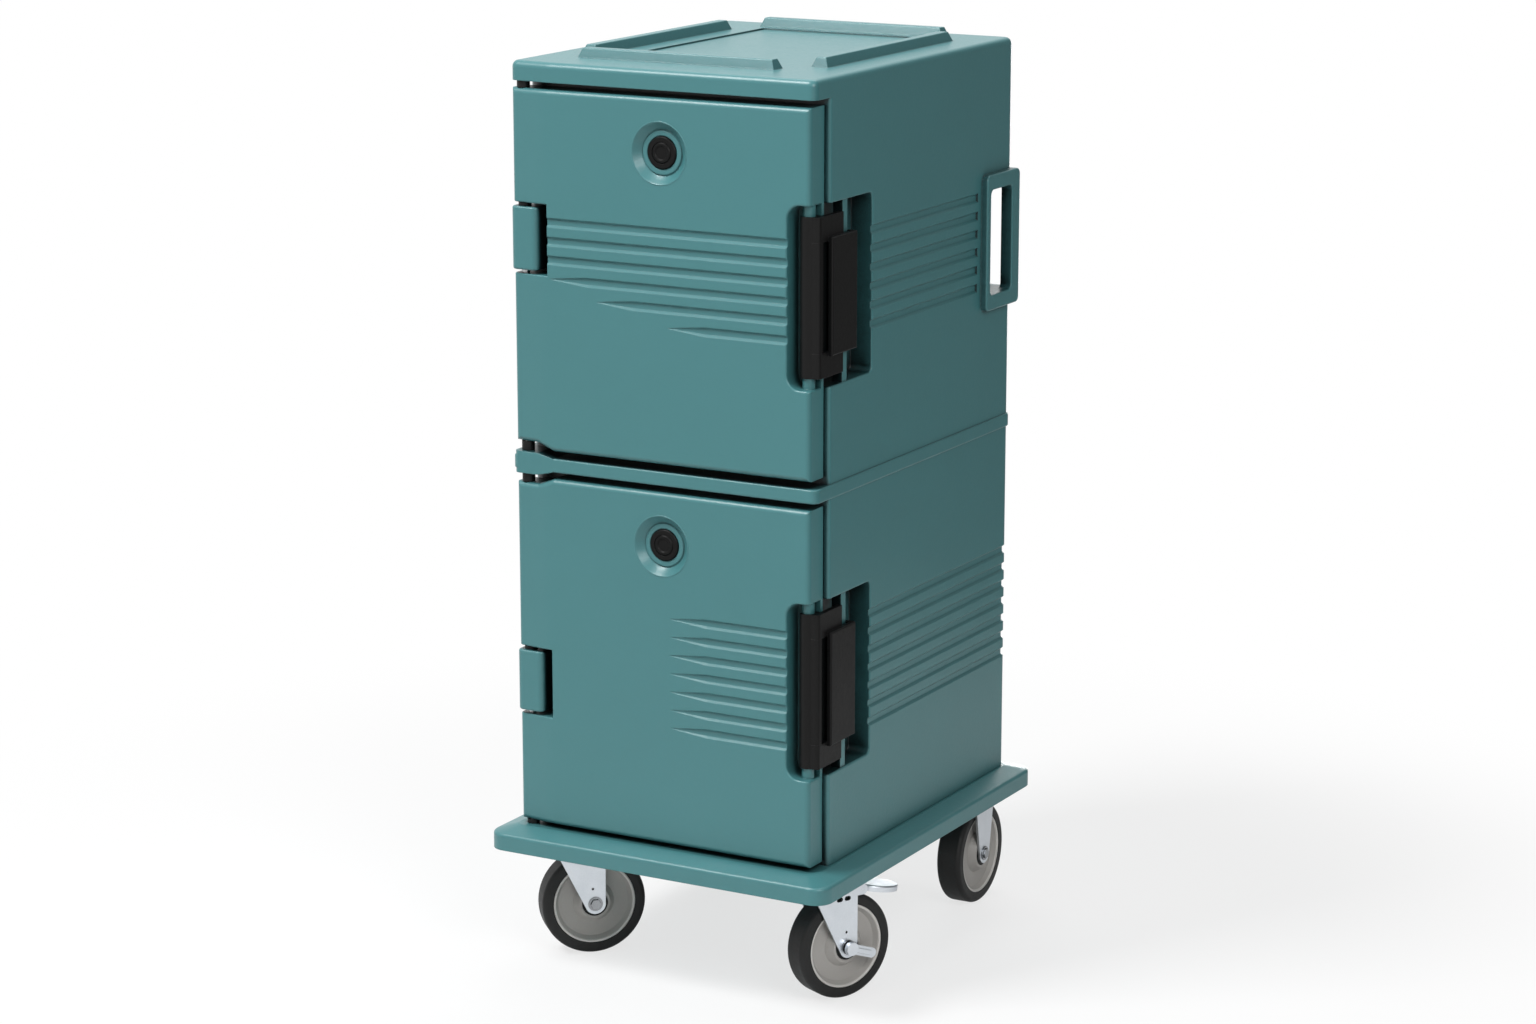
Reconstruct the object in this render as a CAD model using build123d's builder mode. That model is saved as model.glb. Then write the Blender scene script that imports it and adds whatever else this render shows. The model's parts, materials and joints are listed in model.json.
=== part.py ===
from build123d import *
from math import atan2, cos, radians, sin
import os

os.makedirs("parts", exist_ok=True)

# Insulated two-compartment cart for food pans, in millimetres.
# The floor is z = 0, the doors face -Y, and the hinges are on the -X side.

# Body
body_width = 500.0
body_depth = 630.0
door_setback = 45.0
door_height = 526.7
door_gap = 10.4
sill_gap = 7.0
lip_height = 28.4
lip_corner = 12.0
lip_facet_length = 67.0
lip_facet_lean = 5.0
jamb_round = 5.0
band_height = 20.5
band_proud = 3.0
band_edge_round = 2.4
rear_corner = 14.0
hinge_side_round = 28.0
deck_edge_round = 9.0
shell_wall = 8.0
seam_overlap = 30.0

# Base
base_overhang_side = 35.0
base_overhang_end = 34.0
base_corner = 26.0
base_edge_height = 25.0
base_crown_height = 9.5
base_crown_run = 31.0
base_edge_round = 5.0
base_pocket_depth = 14.0
base_pocket_width = 120.0
base_pocket_length = 150.0
base_pocket_gap = 24.0

# Deck
bar_height = 14.0
bar_width = 26.0
bar_draft = 22.0
bar_edge_round = 2.0
front_bar_inset = 79.0
front_bar_left_inset = 69.0
front_bar_right_inset = 109.0
rear_bar_inset = 38.0
rear_bar_left_inset = 97.0
rear_bar_right_inset = 91.0
left_bar_inset = 50.0
left_bar_front_inset = 120.0
left_bar_rear_inset = 115.0
right_bar_inset = 56.0
right_bar_front_inset = 140.0
right_bar_rear_inset = 96.0
panel_drop = 2.5
panel_corner = 6.0
panel_left_inset = 110.0
panel_right_inset = 100.0
panel_front_inset = 125.0
panel_rear_inset = 76.0

# Hinges
hinge_inset = 16.0
pin_radius = 6.0
pin_clearance = 0.06
pin_end_depth = 17.0
pin_tip_gap = 1.0
spacer_radius = 9.5
axial_clearance = 0.3
boss_length = 41.0
boss_blend = 26.0
boss_extra = 6.0
door_hinge_step = 10.0
knuckle_width = 45.0
knuckle_height = 92.4
knuckle_from_band = 310.0
knuckle_front_round = 10.0
knuckle_edge_round = 3.0
notch_side_gap = 16.5
notch_end_gap = 5.5

# Doors
door_thickness = 41.0
door_inset_free = 8.0
door_inset_hinge = 1.5
door_edge_round = 7.5
door_heel_round = 10.0
door_facet_length = 54.0
door_facet_lean = 6.0
facet_blend = 150.0
front_face_limit = 20.0
notch_edge_round = 2.0
door_front_skin = 10.0
door_panel_thickness = 6.0
door_overlap = 24.0
side_wall = 84.0
back_wall = 45.0
liner_wall = 4.0
panel_overlap = 2.0
gasket_inset = 6.0
gasket_width = 10.0
gasket_seat = 3.0
gasket_lip_round = 1.5

# Pan rails
rail_width = 14.0
rail_height = 10.0
rail_pitch = 54.0
rail_first = 40.0
rail_count = 8
rail_end_gap = 10.0

# Latches
latch_mid_above_door_foot = 260.0
body_recess_corner = 9.0
body_recess_round = 2.5
door_recess_corner = 20.0
door_recess_round = 3.0
door_recess_width = 37.0
door_recess_depth = 35.0
body_recess_depth = 35.0
body_recess_length = 127.0
post_radius = 9.0
post_from_edge = 12.5
post_from_front = 21.0
post_clearance = 0.08
barrel_wall = 3.42
barrel_height = 228.0
barrel_end_gap = 16.0
barrel_slot = 13.0
arm_gap = 0.6
arm_thickness = 8.0
arm_reach = 62.0
arm_height = 36.0
arm_lead = 9.0
arm_round = 6.0
plate_thickness = 7.4
plate_front = 17.0
plate_back = 91.0
plate_lap = 6.0
plate_edge_round = 2.5
hook_thickness = 7.0
hook_reach = 11.0
keeper_width = 15.0
keeper_depth = 14.0
keeper_inset = 3.0
keeper_gap_front = 3.5
recess_skin = 6.0

# Vents
vent_from_door_head = 78.5
vent_dish_radius = 45.0
vent_floor_radius = 33.0
vent_dish_depth = 12.0
vent_boss_radius = 52.0
vent_sleeve_radius = 13.0
vent_sleeve_gap = 0.1
vent_flange_radius = 23.3
vent_flange_thickness = 5.0
vent_flange_chamfer = 1.5
vent_pocket_depth = 3.0
vent_bore_radius = 8.0
vent_button_radius = 15.0
vent_button_gap = 0.5
vent_button_proud = 1.0
vent_stem_clearance = 0.08
vent_stem_length = 24.0
vent_pull_dimple = 9.0
vent_pull_dimple_depth = 1.5

# Mould grooves
groove_height = 14.0
groove_floor = 8.0
groove_depth = 3.5
groove_pitch = 27.3
groove_fade = 60.0
groove_tip_share = 0.08
upper_groove_count = 6
lower_groove_count = 7
upper_groove_lift = 8.0
long_upper_grooves = 3
groove_notch_gap = 6.0
groove_start_step = 118.0
groove_short_start = 14.0
groove_side_margin = 12.0
groove_hinge_start = 75.0

# Grab handles at the rear corners
handle_height = 206.0
handle_lift = 5.0
handle_proud_side = 11.0
handle_proud_back = 5.0
handle_length = 106.0
handle_front_bar = 12.0
handle_end_bar = 23.0
handle_post_width = 19.0
handle_post_depth = 26.0
handle_pocket_depth = 38.0
handle_corner = 9.0
handle_edge_round = 3.0
handle_opening_round = 2.5

# Casters
wheel_radius = 80.0
wheel_headroom = 26.8
wheel_width = 40.0
rim_radius = 63.5
tread_round = 7.0
core_web = 22.0
core_rim_wall = 4.0
core_rim_slope = 5.0
core_hub_radius = 24.0
core_hub_slope = 8.0
core_width = 34.0
hub_width = 44.0
bearing_radius = 9.0
seal_radius = 20.0
seal_thickness = 3.0
axle_radius = 5.0
axle_clearance = 0.06
washer_radius = 11.0
washer_thickness = 1.4
axle_head_radius = 8.0
axle_head_length = 4.0
hub_side_gap = 0.5
fork_sheet = 3.5
fork_crown_drop = 18.0
fork_crown_sheet = 4.0
fork_front = 28.0
fork_eye_radius = 16.0
fork_crease = 8.0
fork_crease_depth = 1.3
fork_slot_length = 11.0
fork_slot_width = 7.0
fork_slots = (17.0, 31.0)
fork_slot_drop = 9.0
fork_hole_radius = 2.0
fork_hole_rise = 24.0
fork_hole_lead = 4.0
trail = 33.0
plate_length = 100.0
plate_breadth = 86.0
plate_sheet = 4.0
plate_corner = 9.0
bolt_spacing_x = 80.0
bolt_spacing_y = 60.0
bolt_radius = 4.0
bolt_clearance = 0.3
bolt_head_radius = 7.0
bolt_head_height = 5.0
bolt_depth = 20.0
race_radius = 30.0
race_height = 8.0
swivel_ring_outer = 28.0
swivel_ring_inner = 16.0
kingpin_radius = 6.0
kingpin_nut_radius = 10.0
kingpin_nut_height = 7.0
kingpin_gap = 0.4
brake_pivot_rise = 4.6
brake_ear_reach = 10.0
brake_ear_radius = 8.0
brake_pin_radius = 3.0
brake_hub_radius = 6.0
pedal_half_width = 19.0
pedal_slope = 10.0
pedal_arm_width = 28.0
pedal_arm_sheet = 4.0
pedal_pad_reach = 44.0
pedal_pad_length = 68.0
pedal_pad_width = 50.0
pedal_pad_top = 3.0
pedal_pad_sheet = 4.0
pedal_pad_wall = 3.0
pedal_pad_round = 2.5
pedal_skirt = 6.0
brake_shoe_depth = 7.8
brake_shoe_width = 8.0
lever_hub_radius = 10.0
lever_hub_length = 7.0
lever_length = 46.0
lever_tip_width = 15.0
lever_sheet = 4.0
lever_ridge_length = 38.0
lever_ridge_width = 6.0
lever_ridge_height = 6.0
lever_angle = 20.0
front_caster_inset_x = 70.0
front_caster_inset_y = 120.0
rear_caster_inset_x = 78.0
rear_caster_inset_y = 65.0
left_swivel_angle = 44.7
right_swivel_angle = 63.5
fixed_caster_angle = 90.0

# Levels and faces worked out from the sizes above
caster_height = 2 * wheel_radius + wheel_headroom
base_top = caster_height + base_edge_height + base_crown_height
lower_door_foot = base_top + sill_gap
lower_door_head = lower_door_foot + door_height
band_bottom = lower_door_head + door_gap
band_top = band_bottom + band_height
boss_bottom = band_bottom - boss_extra
boss_top = band_top + boss_extra
upper_door_foot = band_top + door_gap
upper_door_head = upper_door_foot + door_height
lip_bottom = upper_door_head + door_gap
deck = lip_bottom + lip_height
side = body_width / 2
front = -body_depth / 2
back = body_depth / 2
jamb = front + door_setback
base_width = body_width + 2 * base_overhang_side
base_depth = body_depth + 2 * base_overhang_end
hinge_x = -side + hinge_inset
hinge_y = front + hinge_inset
pin_bore = pin_radius + pin_clearance
door_back = front + door_thickness
door_left = -side + door_inset_hinge
door_right = side - door_inset_free
facet_end = door_left + door_facet_length
notch_right = -side + knuckle_width + notch_side_gap
cavity_half = side - side_wall
cavity_back = back - back_wall
post_x = door_right - post_from_edge
post_y = front + post_from_front
barrel_radius = post_radius + post_clearance + barrel_wall
arm_inner = door_right + arm_gap
arm_outer = arm_inner + arm_thickness
plate_outer = arm_outer + plate_thickness
arm_end = post_y + arm_reach
latch_recess_height = barrel_height + 2 * barrel_end_gap
plate_height = barrel_height - 2 * (arm_height - plate_lap)
keeper_front = arm_end + keeper_gap_front
keeper_back = keeper_front + keeper_depth
hook_front = post_y + plate_back - hook_thickness
recess_floor = side - body_recess_depth
recess_back = jamb + body_recess_length
handle_outer = side + handle_proud_side
handle_back = back + handle_proud_back
handle_front = back - handle_length
handle_floor = side - handle_pocket_depth
fork_inner = hub_width / 2 + hub_side_gap
fork_outer = fork_inner + fork_sheet
crown_top = caster_height - fork_crown_drop
crown_bottom = crown_top - fork_crown_sheet
race_bottom = caster_height - plate_sheet - race_height
leg_back = trail + fork_eye_radius
brake_pivot = (leg_back + brake_ear_reach, 2 * wheel_radius + brake_pivot_rise)


class DoorPlace:
    """Levels of one door: its span and what sits in it."""

    def __init__(self, name, foot, boss_at_foot, groove_count, groove_lift):
        self.name = name
        self.foot = foot
        self.head = foot + door_height
        self.boss_at_foot = boss_at_foot
        reach = knuckle_from_band if boss_at_foot else door_height - knuckle_from_band
        self.knuckle_mid = foot + reach
        self.latch_mid = foot + latch_mid_above_door_foot
        self.vent = self.head - vent_from_door_head
        first = self.latch_mid + groove_lift + groove_pitch * (groove_count - 1) / 2
        self.grooves = [first - groove_pitch * i for i in range(groove_count)]
        self.cavity_floor = self.foot + door_overlap
        self.cavity_roof = self.head - door_overlap


upper = DoorPlace("upper", upper_door_foot, True, upper_groove_count, upper_groove_lift)
lower = DoorPlace("lower", lower_door_foot, False, lower_groove_count, 0.0)
places = (upper, lower)
handle_mid = upper.latch_mid + handle_lift
handle_foot = handle_mid - handle_height / 2
handle_head = handle_mid + handle_height / 2


def write_piece(piece, name):
    """Label a finished piece and write it under its name."""
    piece.part.label = name
    export_step(piece.part, f"parts/{name}.step")


def block(low, high, mode=Mode.ADD):
    """Add or cut a square-edged block between two corners."""
    middle = (Vector(*low) + Vector(*high)) / 2
    size = Vector(*high) - Vector(*low)
    with Locations(middle):
        Box(size.X, size.Y, size.Z, mode=mode)


def rod(x, y, radius, bottom, top, mode=Mode.ADD):
    """Add or cut an upright round bar."""
    with Locations((x, y, (bottom + top) / 2)):
        Cylinder(radius, top - bottom, mode=mode)


def side_plane(x, sign):
    """A plane square to X that faces outwards on the given side, with Z as its height."""
    return Plane(origin=(x, 0, 0), x_dir=(0, sign, 0), z_dir=(sign, 0, 0))


def knuckle_span(place):
    """Bottom and top of the body's hinge knuckle beside a door."""
    return place.knuckle_mid - knuckle_height / 2, place.knuckle_mid + knuckle_height / 2


def notch_span(place):
    """Bottom and top of the door's notch round that knuckle."""
    low, high = knuckle_span(place)
    return low - notch_end_gap, high + notch_end_gap


def recess_span(place):
    """Bottom and top of the latch recess in door and body."""
    return place.latch_mid - latch_recess_height / 2, place.latch_mid + latch_recess_height / 2


# Foam between the outer shell and the two liners
with BuildPart() as body_insulation:
    with BuildSketch(Plane.XY.offset(base_top + shell_wall)) as foam_outline:
        with Locations((0, (jamb + back) / 2)):
            Rectangle(body_width - 2 * shell_wall, back - jamb - 2 * shell_wall)
        heel = foam_outline.vertices().group_by(Axis.Y)[0].sort_by(Axis.X)[0]
        fillet(heel, hinge_side_round - shell_wall)
    extrude(amount=deck - base_top - 2 * shell_wall)
    for place in places:
        recess_low, recess_high = recess_span(place)
        block(
            (recess_floor - recess_skin, jamb, recess_low - recess_skin),
            (side, recess_back + recess_skin, recess_high + recess_skin),
            Mode.SUBTRACT,
        )
        block(
            (-cavity_half - liner_wall, jamb, place.cavity_floor - liner_wall),
            (cavity_half + liner_wall, cavity_back + liner_wall, place.cavity_roof + liner_wall),
            Mode.SUBTRACT,
        )
    for sign in (-1, 1):
        pocket_x = sorted((sign * (handle_floor - recess_skin), sign * side))
        block(
            (pocket_x[0], handle_front - recess_skin, handle_foot - recess_skin),
            (pocket_x[1], back, handle_head + recess_skin),
            Mode.SUBTRACT,
        )
write_piece(body_insulation, "body_insulation")

# Band between the doors, which stands a little proud of the walls
with BuildPart() as mid_band:
    with BuildSketch(Plane.XY.offset(band_bottom)) as band_outline:
        with Locations((0, (front + back + band_proud) / 2)):
            Rectangle(body_width + 2 * band_proud, body_depth + band_proud)
        fillet(band_outline.vertices().group_by(Axis.Y)[0], lip_corner)
        fillet(band_outline.vertices().group_by(Axis.Y)[-1], rear_corner + band_proud)
    extrude(amount=band_height)
    fillet(mid_band.faces().sort_by(Axis.Z)[-1].edges(), band_edge_round)
    fillet(mid_band.faces().sort_by(Axis.Z)[0].edges(), band_edge_round)

# Hinge boss at the end of the band, thicker than the band itself
with BuildPart() as band_boss:
    with BuildSketch(Plane.XZ.offset(-(jamb + seam_overlap))):
        with BuildLine():
            Polyline(
                (-side, boss_bottom),
                (-side + boss_length, boss_bottom),
                (-side + boss_length + boss_blend, band_bottom),
                (-side + boss_length + boss_blend, band_top),
                (-side + boss_length, boss_top),
                (-side, boss_top),
                close=True,
            )
        make_face()
    extrude(amount=door_setback + seam_overlap)
    corner = band_boss.edges().filter_by(Axis.Z).group_by(Axis.X)[0].sort_by(Axis.Y)[0]
    fillet(corner, knuckle_front_round)

# Hinge knuckles that stand in the doors' notches
knuckles = []
for place in places:
    knuckle_low, knuckle_high = knuckle_span(place)
    with BuildPart() as knuckle:
        block(
            (-side, front, knuckle_low),
            (-side + knuckle_width, jamb + seam_overlap, knuckle_high),
        )
        fillet(
            knuckle.edges().filter_by(Axis.Z).group_by(Axis.Y)[0],
            knuckle_front_round,
        )
        rims = knuckle.faces().filter_by(Axis.Z).edges()
        fillet(rims.filter_by(Axis.X).group_by(Axis.Y)[0], knuckle_edge_round)
    knuckles.append(knuckle.part)

# Groove that runs round both walls and the back
with BuildPart() as wall_groove:
    with BuildLine(Plane.XY) as groove_path:
        right_run = Line((side, recess_back - groove_side_margin), (side, back - rear_corner))
        right_bend = RadiusArc(
            right_run @ 1, (side - rear_corner, back), -rear_corner
        )
        back_run = Line(right_bend @ 1, (-side + rear_corner, back))
        left_bend = RadiusArc(back_run @ 1, (-side, back - rear_corner), -rear_corner)
        Line(left_bend @ 1, (-side, jamb + groove_hinge_start))
    with BuildSketch(Plane(origin=right_run @ 0, x_dir=(1, 0, 0), z_dir=(0, 1, 0))):
        with BuildLine():
            Polyline(
                (groove_depth, -groove_height),
                (groove_depth, groove_height),
                (0, groove_height / 2),
                (-groove_depth, groove_floor / 2),
                (-groove_depth, -groove_floor / 2),
                (0, -groove_height / 2),
                close=True,
            )
        make_face()
    sweep(path=groove_path.wires()[0])

# Outer shell: walls, lip, band, hinge seats, latch recesses and grab handles
with BuildPart() as outer_shell:
    with BuildSketch(Plane.XY.offset(base_top)) as wall_outline:
        with Locations((0, (jamb + back) / 2)):
            Rectangle(body_width, back - jamb)
        heel = wall_outline.vertices().group_by(Axis.Y)[0].sort_by(Axis.X)[0]
        fillet(heel, hinge_side_round)
        jamb_corner = wall_outline.vertices().group_by(Axis.Y)[0].sort_by(Axis.X)[-1]
        fillet(jamb_corner, jamb_round)
        fillet(wall_outline.vertices().group_by(Axis.Y)[-1], rear_corner)
    extrude(amount=deck - base_top)
    with BuildSketch(Plane.XY.offset(lip_bottom)) as lip_outline:
        with BuildLine():
            Polyline(
                (-side, jamb + seam_overlap),
                (-side, front + lip_facet_lean),
                (-side + lip_facet_length, front),
                (side, front),
                (side, jamb + seam_overlap),
                close=True,
            )
        make_face()
        hinge_corner = lip_outline.vertices().group_by(Axis.Y)[1]
        ridge, free_corner = lip_outline.vertices().group_by(Axis.Y)[0].sort_by(Axis.X)
        fillet(hinge_corner + [free_corner], lip_corner)
        fillet(lip_outline.vertices().sort_by_distance(ridge)[0], facet_blend)
    extrude(amount=lip_height)
    fillet(outer_shell.faces().sort_by(Axis.Z)[-1].edges(), deck_edge_round)

    # Sunk panel and the four low bars that keep stacked goods from sliding
    front_bar = (front + front_bar_inset, front + front_bar_inset + bar_width)
    rear_bar = (back - rear_bar_inset - bar_width, back - rear_bar_inset)
    left_bar = (-side + left_bar_inset, -side + left_bar_inset + bar_width)
    right_bar = (side - right_bar_inset - bar_width, side - right_bar_inset)
    bar_limits = (
        (-side + front_bar_left_inset, side - front_bar_right_inset, *front_bar),
        (-side + rear_bar_left_inset, side - rear_bar_right_inset, *rear_bar),
        (*left_bar, front + left_bar_front_inset, back - left_bar_rear_inset),
        (*right_bar, front + right_bar_front_inset, back - right_bar_rear_inset),
    )
    for bar_left, bar_right, bar_front, bar_back in bar_limits:
        with BuildSketch(Plane.XY.offset(deck)):
            with Locations(((bar_left + bar_right) / 2, (bar_front + bar_back) / 2)):
                Rectangle(bar_right - bar_left, bar_back - bar_front)
        extrude(amount=bar_height, taper=bar_draft)
    fillet(outer_shell.faces().group_by(Axis.Z)[-1].edges(), bar_edge_round)
    panel_left = -side + panel_left_inset
    panel_right = side - panel_right_inset
    panel_front = front + panel_front_inset
    panel_back = back - panel_rear_inset
    with BuildSketch(Plane.XY.offset(deck - panel_drop)):
        with Locations(((panel_left + panel_right) / 2, (panel_front + panel_back) / 2)):
            RectangleRounded(panel_right - panel_left, panel_back - panel_front, panel_corner)
    extrude(amount=panel_drop, mode=Mode.SUBTRACT)

    add(mid_band.part)
    add(band_boss.part)
    for knuckle_part in knuckles:
        add(knuckle_part)

    # Latch recesses in the free-side wall, each with its keeper bar
    for place in places:
        recess_low, recess_high = recess_span(place)
        with BuildSketch(side_plane(recess_floor, 1)):
            with Locations(((jamb - seam_overlap + recess_back) / 2, place.latch_mid)):
                RectangleRounded(
                    recess_back - jamb + seam_overlap, latch_recess_height, body_recess_corner
                )
        extrude(amount=body_recess_depth + band_proud, mode=Mode.SUBTRACT)
        wall_edges = outer_shell.edges().filter_by_position(
            Axis.X, side - body_recess_round, side + body_recess_round
        )
        recess_rim = wall_edges.filter_by_position(
            Axis.Y, jamb, recess_back + body_recess_round
        )
        fillet(
            recess_rim.filter_by_position(
                Axis.Z, recess_low - body_recess_round, recess_high + body_recess_round
            ),
            body_recess_round,
        )
        block(
            (side - keeper_inset - keeper_width, keeper_front, recess_low),
            (side - keeper_inset, keeper_back, recess_high),
        )

    # Grab handles: a proud frame round a pocket that opens to the side and the back
    for sign in (-1, 1):
        with BuildSketch(side_plane(sign * handle_floor, sign)):
            with Locations((sign * (handle_front + handle_back) / 2, handle_mid)):
                RectangleRounded(handle_back - handle_front, handle_height, handle_corner)
        extrude(amount=handle_outer - handle_floor)
        grip = outer_shell.faces().sort_by(Axis.X)[-1 if sign > 0 else 0]
        fillet(grip.edges(), handle_edge_round)
        opening_front = handle_front + handle_front_bar
        opening_back = handle_back - handle_post_depth
        with BuildSketch(side_plane(sign * handle_floor, sign)):
            with Locations((sign * (opening_front + opening_back) / 2, handle_mid)):
                RectangleRounded(
                    opening_back - opening_front, handle_height - 2 * handle_end_bar, handle_corner
                )
        extrude(amount=handle_outer - handle_floor, mode=Mode.SUBTRACT)
        grip = outer_shell.faces().sort_by(Axis.X)[-1 if sign > 0 else 0]
        fillet(grip.inner_wires()[0].edges(), handle_opening_round)
        rear_gap = sorted((sign * handle_floor, sign * (handle_outer - handle_post_width)))
        block(
            (rear_gap[0], opening_front + handle_corner, handle_foot + handle_end_bar),
            (rear_gap[1], handle_back, handle_head - handle_end_bar),
            Mode.SUBTRACT,
        )

    # Mould grooves: right round the lower half, and between recess and handle on the upper half
    for level in lower.grooves:
        with Locations((0, 0, level)):
            add(wall_groove.part, mode=Mode.SUBTRACT)
    for level in upper.grooves:
        for sign in (-1, 1):
            start = recess_back - groove_side_margin if sign > 0 else jamb + groove_hinge_start
            start_plane = Plane(
                origin=(sign * side, start, level), x_dir=(sign, 0, 0), z_dir=(0, 1, 0)
            )
            with BuildSketch(start_plane):
                with BuildLine():
                    Polyline(
                        (0, groove_height / 2),
                        (-groove_depth, groove_floor / 2),
                        (-groove_depth, -groove_floor / 2),
                        (0, -groove_height / 2),
                        close=True,
                    )
                make_face()
            extrude(amount=handle_front - groove_side_margin - start, mode=Mode.SUBTRACT)

    # Hollow for the foam and the openings for the liners
    add(body_insulation.part, mode=Mode.SUBTRACT)
    for place in places:
        block(
            (-cavity_half - liner_wall, jamb, place.cavity_floor - liner_wall),
            (cavity_half + liner_wall, cavity_back + liner_wall, place.cavity_roof + liner_wall),
            Mode.SUBTRACT,
        )
        knuckle_low, knuckle_high = knuckle_span(place)
        rod(hinge_x, hinge_y, pin_bore, knuckle_low, knuckle_high, Mode.SUBTRACT)
    lip_bore_top = lip_bottom + pin_end_depth + pin_tip_gap
    rod(hinge_x, hinge_y, pin_bore, boss_bottom, boss_top, Mode.SUBTRACT)
    rod(hinge_x, hinge_y, pin_bore, lip_bottom, lip_bore_top, Mode.SUBTRACT)
write_piece(outer_shell, "outer_shell")

# Compartment tubs and the rails that carry the pans
for place in places:
    with BuildPart() as liner:
        block(
            (-cavity_half - liner_wall, jamb, place.cavity_floor - liner_wall),
            (cavity_half + liner_wall, cavity_back + liner_wall, place.cavity_roof + liner_wall),
        )
        block(
            (-cavity_half, jamb, place.cavity_floor),
            (cavity_half, cavity_back, place.cavity_roof),
            Mode.SUBTRACT,
        )
    write_piece(liner, f"{place.name}_liner")

    with BuildPart() as pan_rails:
        for level in range(rail_count):
            rail_top = place.cavity_floor + rail_first + rail_pitch * level
            for sign in (-1, 1):
                with BuildSketch(Plane.XZ.offset(-(cavity_back - rail_end_gap))):
                    with BuildLine():
                        Polyline(
                            (sign * cavity_half, rail_top),
                            (sign * (cavity_half - rail_width), rail_top),
                            (sign * (cavity_half - rail_width), rail_top - rail_height / 2),
                            (sign * cavity_half, rail_top - rail_height),
                            close=True,
                        )
                    make_face()
                extrude(amount=cavity_back - jamb - 2 * rail_end_gap)
    write_piece(pan_rails, f"{place.name}_pan_rails")

# Base moulding with its sloped shoulder and caster pads
caster_spots = {
    "front_left": (-base_width / 2 + front_caster_inset_x, -base_depth / 2 + front_caster_inset_y),
    "front_right": (base_width / 2 - front_caster_inset_x, -base_depth / 2 + front_caster_inset_y),
    "rear_left": (-base_width / 2 + rear_caster_inset_x, base_depth / 2 - rear_caster_inset_y),
    "rear_right": (base_width / 2 - rear_caster_inset_x, base_depth / 2 - rear_caster_inset_y),
}
with BuildPart() as base:
    with BuildSketch(Plane.XY.offset(caster_height)):
        RectangleRounded(base_width, base_depth, base_corner)
    extrude(amount=base_edge_height)
    with BuildSketch(Plane.XY.offset(caster_height + base_edge_height)):
        RectangleRounded(base_width, base_depth, base_corner)
    with BuildSketch(Plane.XY.offset(base_top)):
        RectangleRounded(
            base_width - 2 * base_crown_run, base_depth - 2 * base_crown_run, base_corner / 2
        )
    loft()
    shoulder = base.edges().filter_by_position(
        Axis.Z, caster_height + base_edge_height, caster_height + base_edge_height
    )
    fillet(shoulder, base_edge_round)
    with BuildSketch(Plane.XY.offset(caster_height)):
        with GridLocations(
            base_pocket_width + base_pocket_gap, base_pocket_length + base_pocket_gap, 2, 2
        ):
            RectangleRounded(base_pocket_width, base_pocket_length, base_pocket_gap / 2)
    extrude(amount=base_pocket_depth, mode=Mode.SUBTRACT)
    for spot in caster_spots.values():
        with BuildSketch(Plane.XY.offset(caster_height)):
            with Locations(spot):
                with GridLocations(bolt_spacing_x, bolt_spacing_y, 2, 2):
                    Circle(bolt_radius + bolt_clearance)
        extrude(amount=bolt_depth + pin_tip_gap, mode=Mode.SUBTRACT)
    rod(hinge_x, hinge_y, pin_bore, base_top - pin_end_depth - pin_tip_gap, base_top, Mode.SUBTRACT)
write_piece(base, "base")

# Hinge pins, one a door, and the nylon spacers that carry the doors on them
band_middle = (band_bottom + band_top) / 2
pin_spans = {
    "upper": (band_middle + pin_tip_gap, lip_bottom + pin_end_depth),
    "lower": (base_top - pin_end_depth, band_middle - pin_tip_gap),
}
for name, (pin_foot, pin_head) in pin_spans.items():
    with BuildPart() as hinge_pin:
        rod(hinge_x, hinge_y, pin_radius, pin_foot, pin_head)
        chamfer(hinge_pin.edges().filter_by(GeomType.CIRCLE), pin_tip_gap)
    write_piece(hinge_pin, f"{name}_hinge_pin")

for place in places:
    knuckle_low, knuckle_high = knuckle_span(place)
    foot_seat = boss_top if place.boss_at_foot else base_top
    head_seat = lip_bottom if place.boss_at_foot else boss_bottom
    foot_face = place.foot + door_hinge_step if place.boss_at_foot else place.foot
    head_face = place.head if place.boss_at_foot else place.head - door_hinge_step
    spacer_spans = (
        (foot_seat, foot_face - axial_clearance),
        (knuckle_high, knuckle_high + notch_end_gap - axial_clearance),
        (head_face + axial_clearance, head_seat),
    )
    with BuildPart() as spacers:
        for low, high in spacer_spans:
            with BuildSketch(Plane.XY.offset(low)):
                with Locations((hinge_x, hinge_y)):
                    Circle(spacer_radius)
                    Circle(pin_bore, mode=Mode.SUBTRACT)
            extrude(amount=high - low)
    write_piece(spacers, f"{place.name}_hinge_spacers")


def door_outline(place):
    """Front view of a door, with the corner beside the band boss set back."""
    foot_step = door_hinge_step if place.boss_at_foot else 0.0
    head_step = 0.0 if place.boss_at_foot else door_hinge_step
    boss_end = -side + boss_length
    return (
        (door_left, place.foot + foot_step),
        (boss_end, place.foot + foot_step),
        (boss_end + boss_blend, place.foot),
        (door_right, place.foot),
        (door_right, place.head),
        (boss_end + boss_blend, place.head),
        (boss_end, place.head - head_step),
        (door_left, place.head - head_step),
    )


def looks_forward(face):
    """True for the faces that make up a door's front."""
    return face.normal_at().Y < -cos(radians(front_face_limit))


def frame_sketch(place, inset, width):
    """A rectangular ring round a compartment's mouth, as seen from the front."""
    mid = (place.cavity_floor + place.cavity_roof) / 2
    tall = place.cavity_roof - place.cavity_floor
    outset = inset + width
    with Locations((0, mid)):
        Rectangle(2 * (cavity_half + outset), tall + 2 * outset)
        Rectangle(2 * (cavity_half + inset), tall + 2 * inset, mode=Mode.SUBTRACT)


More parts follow.
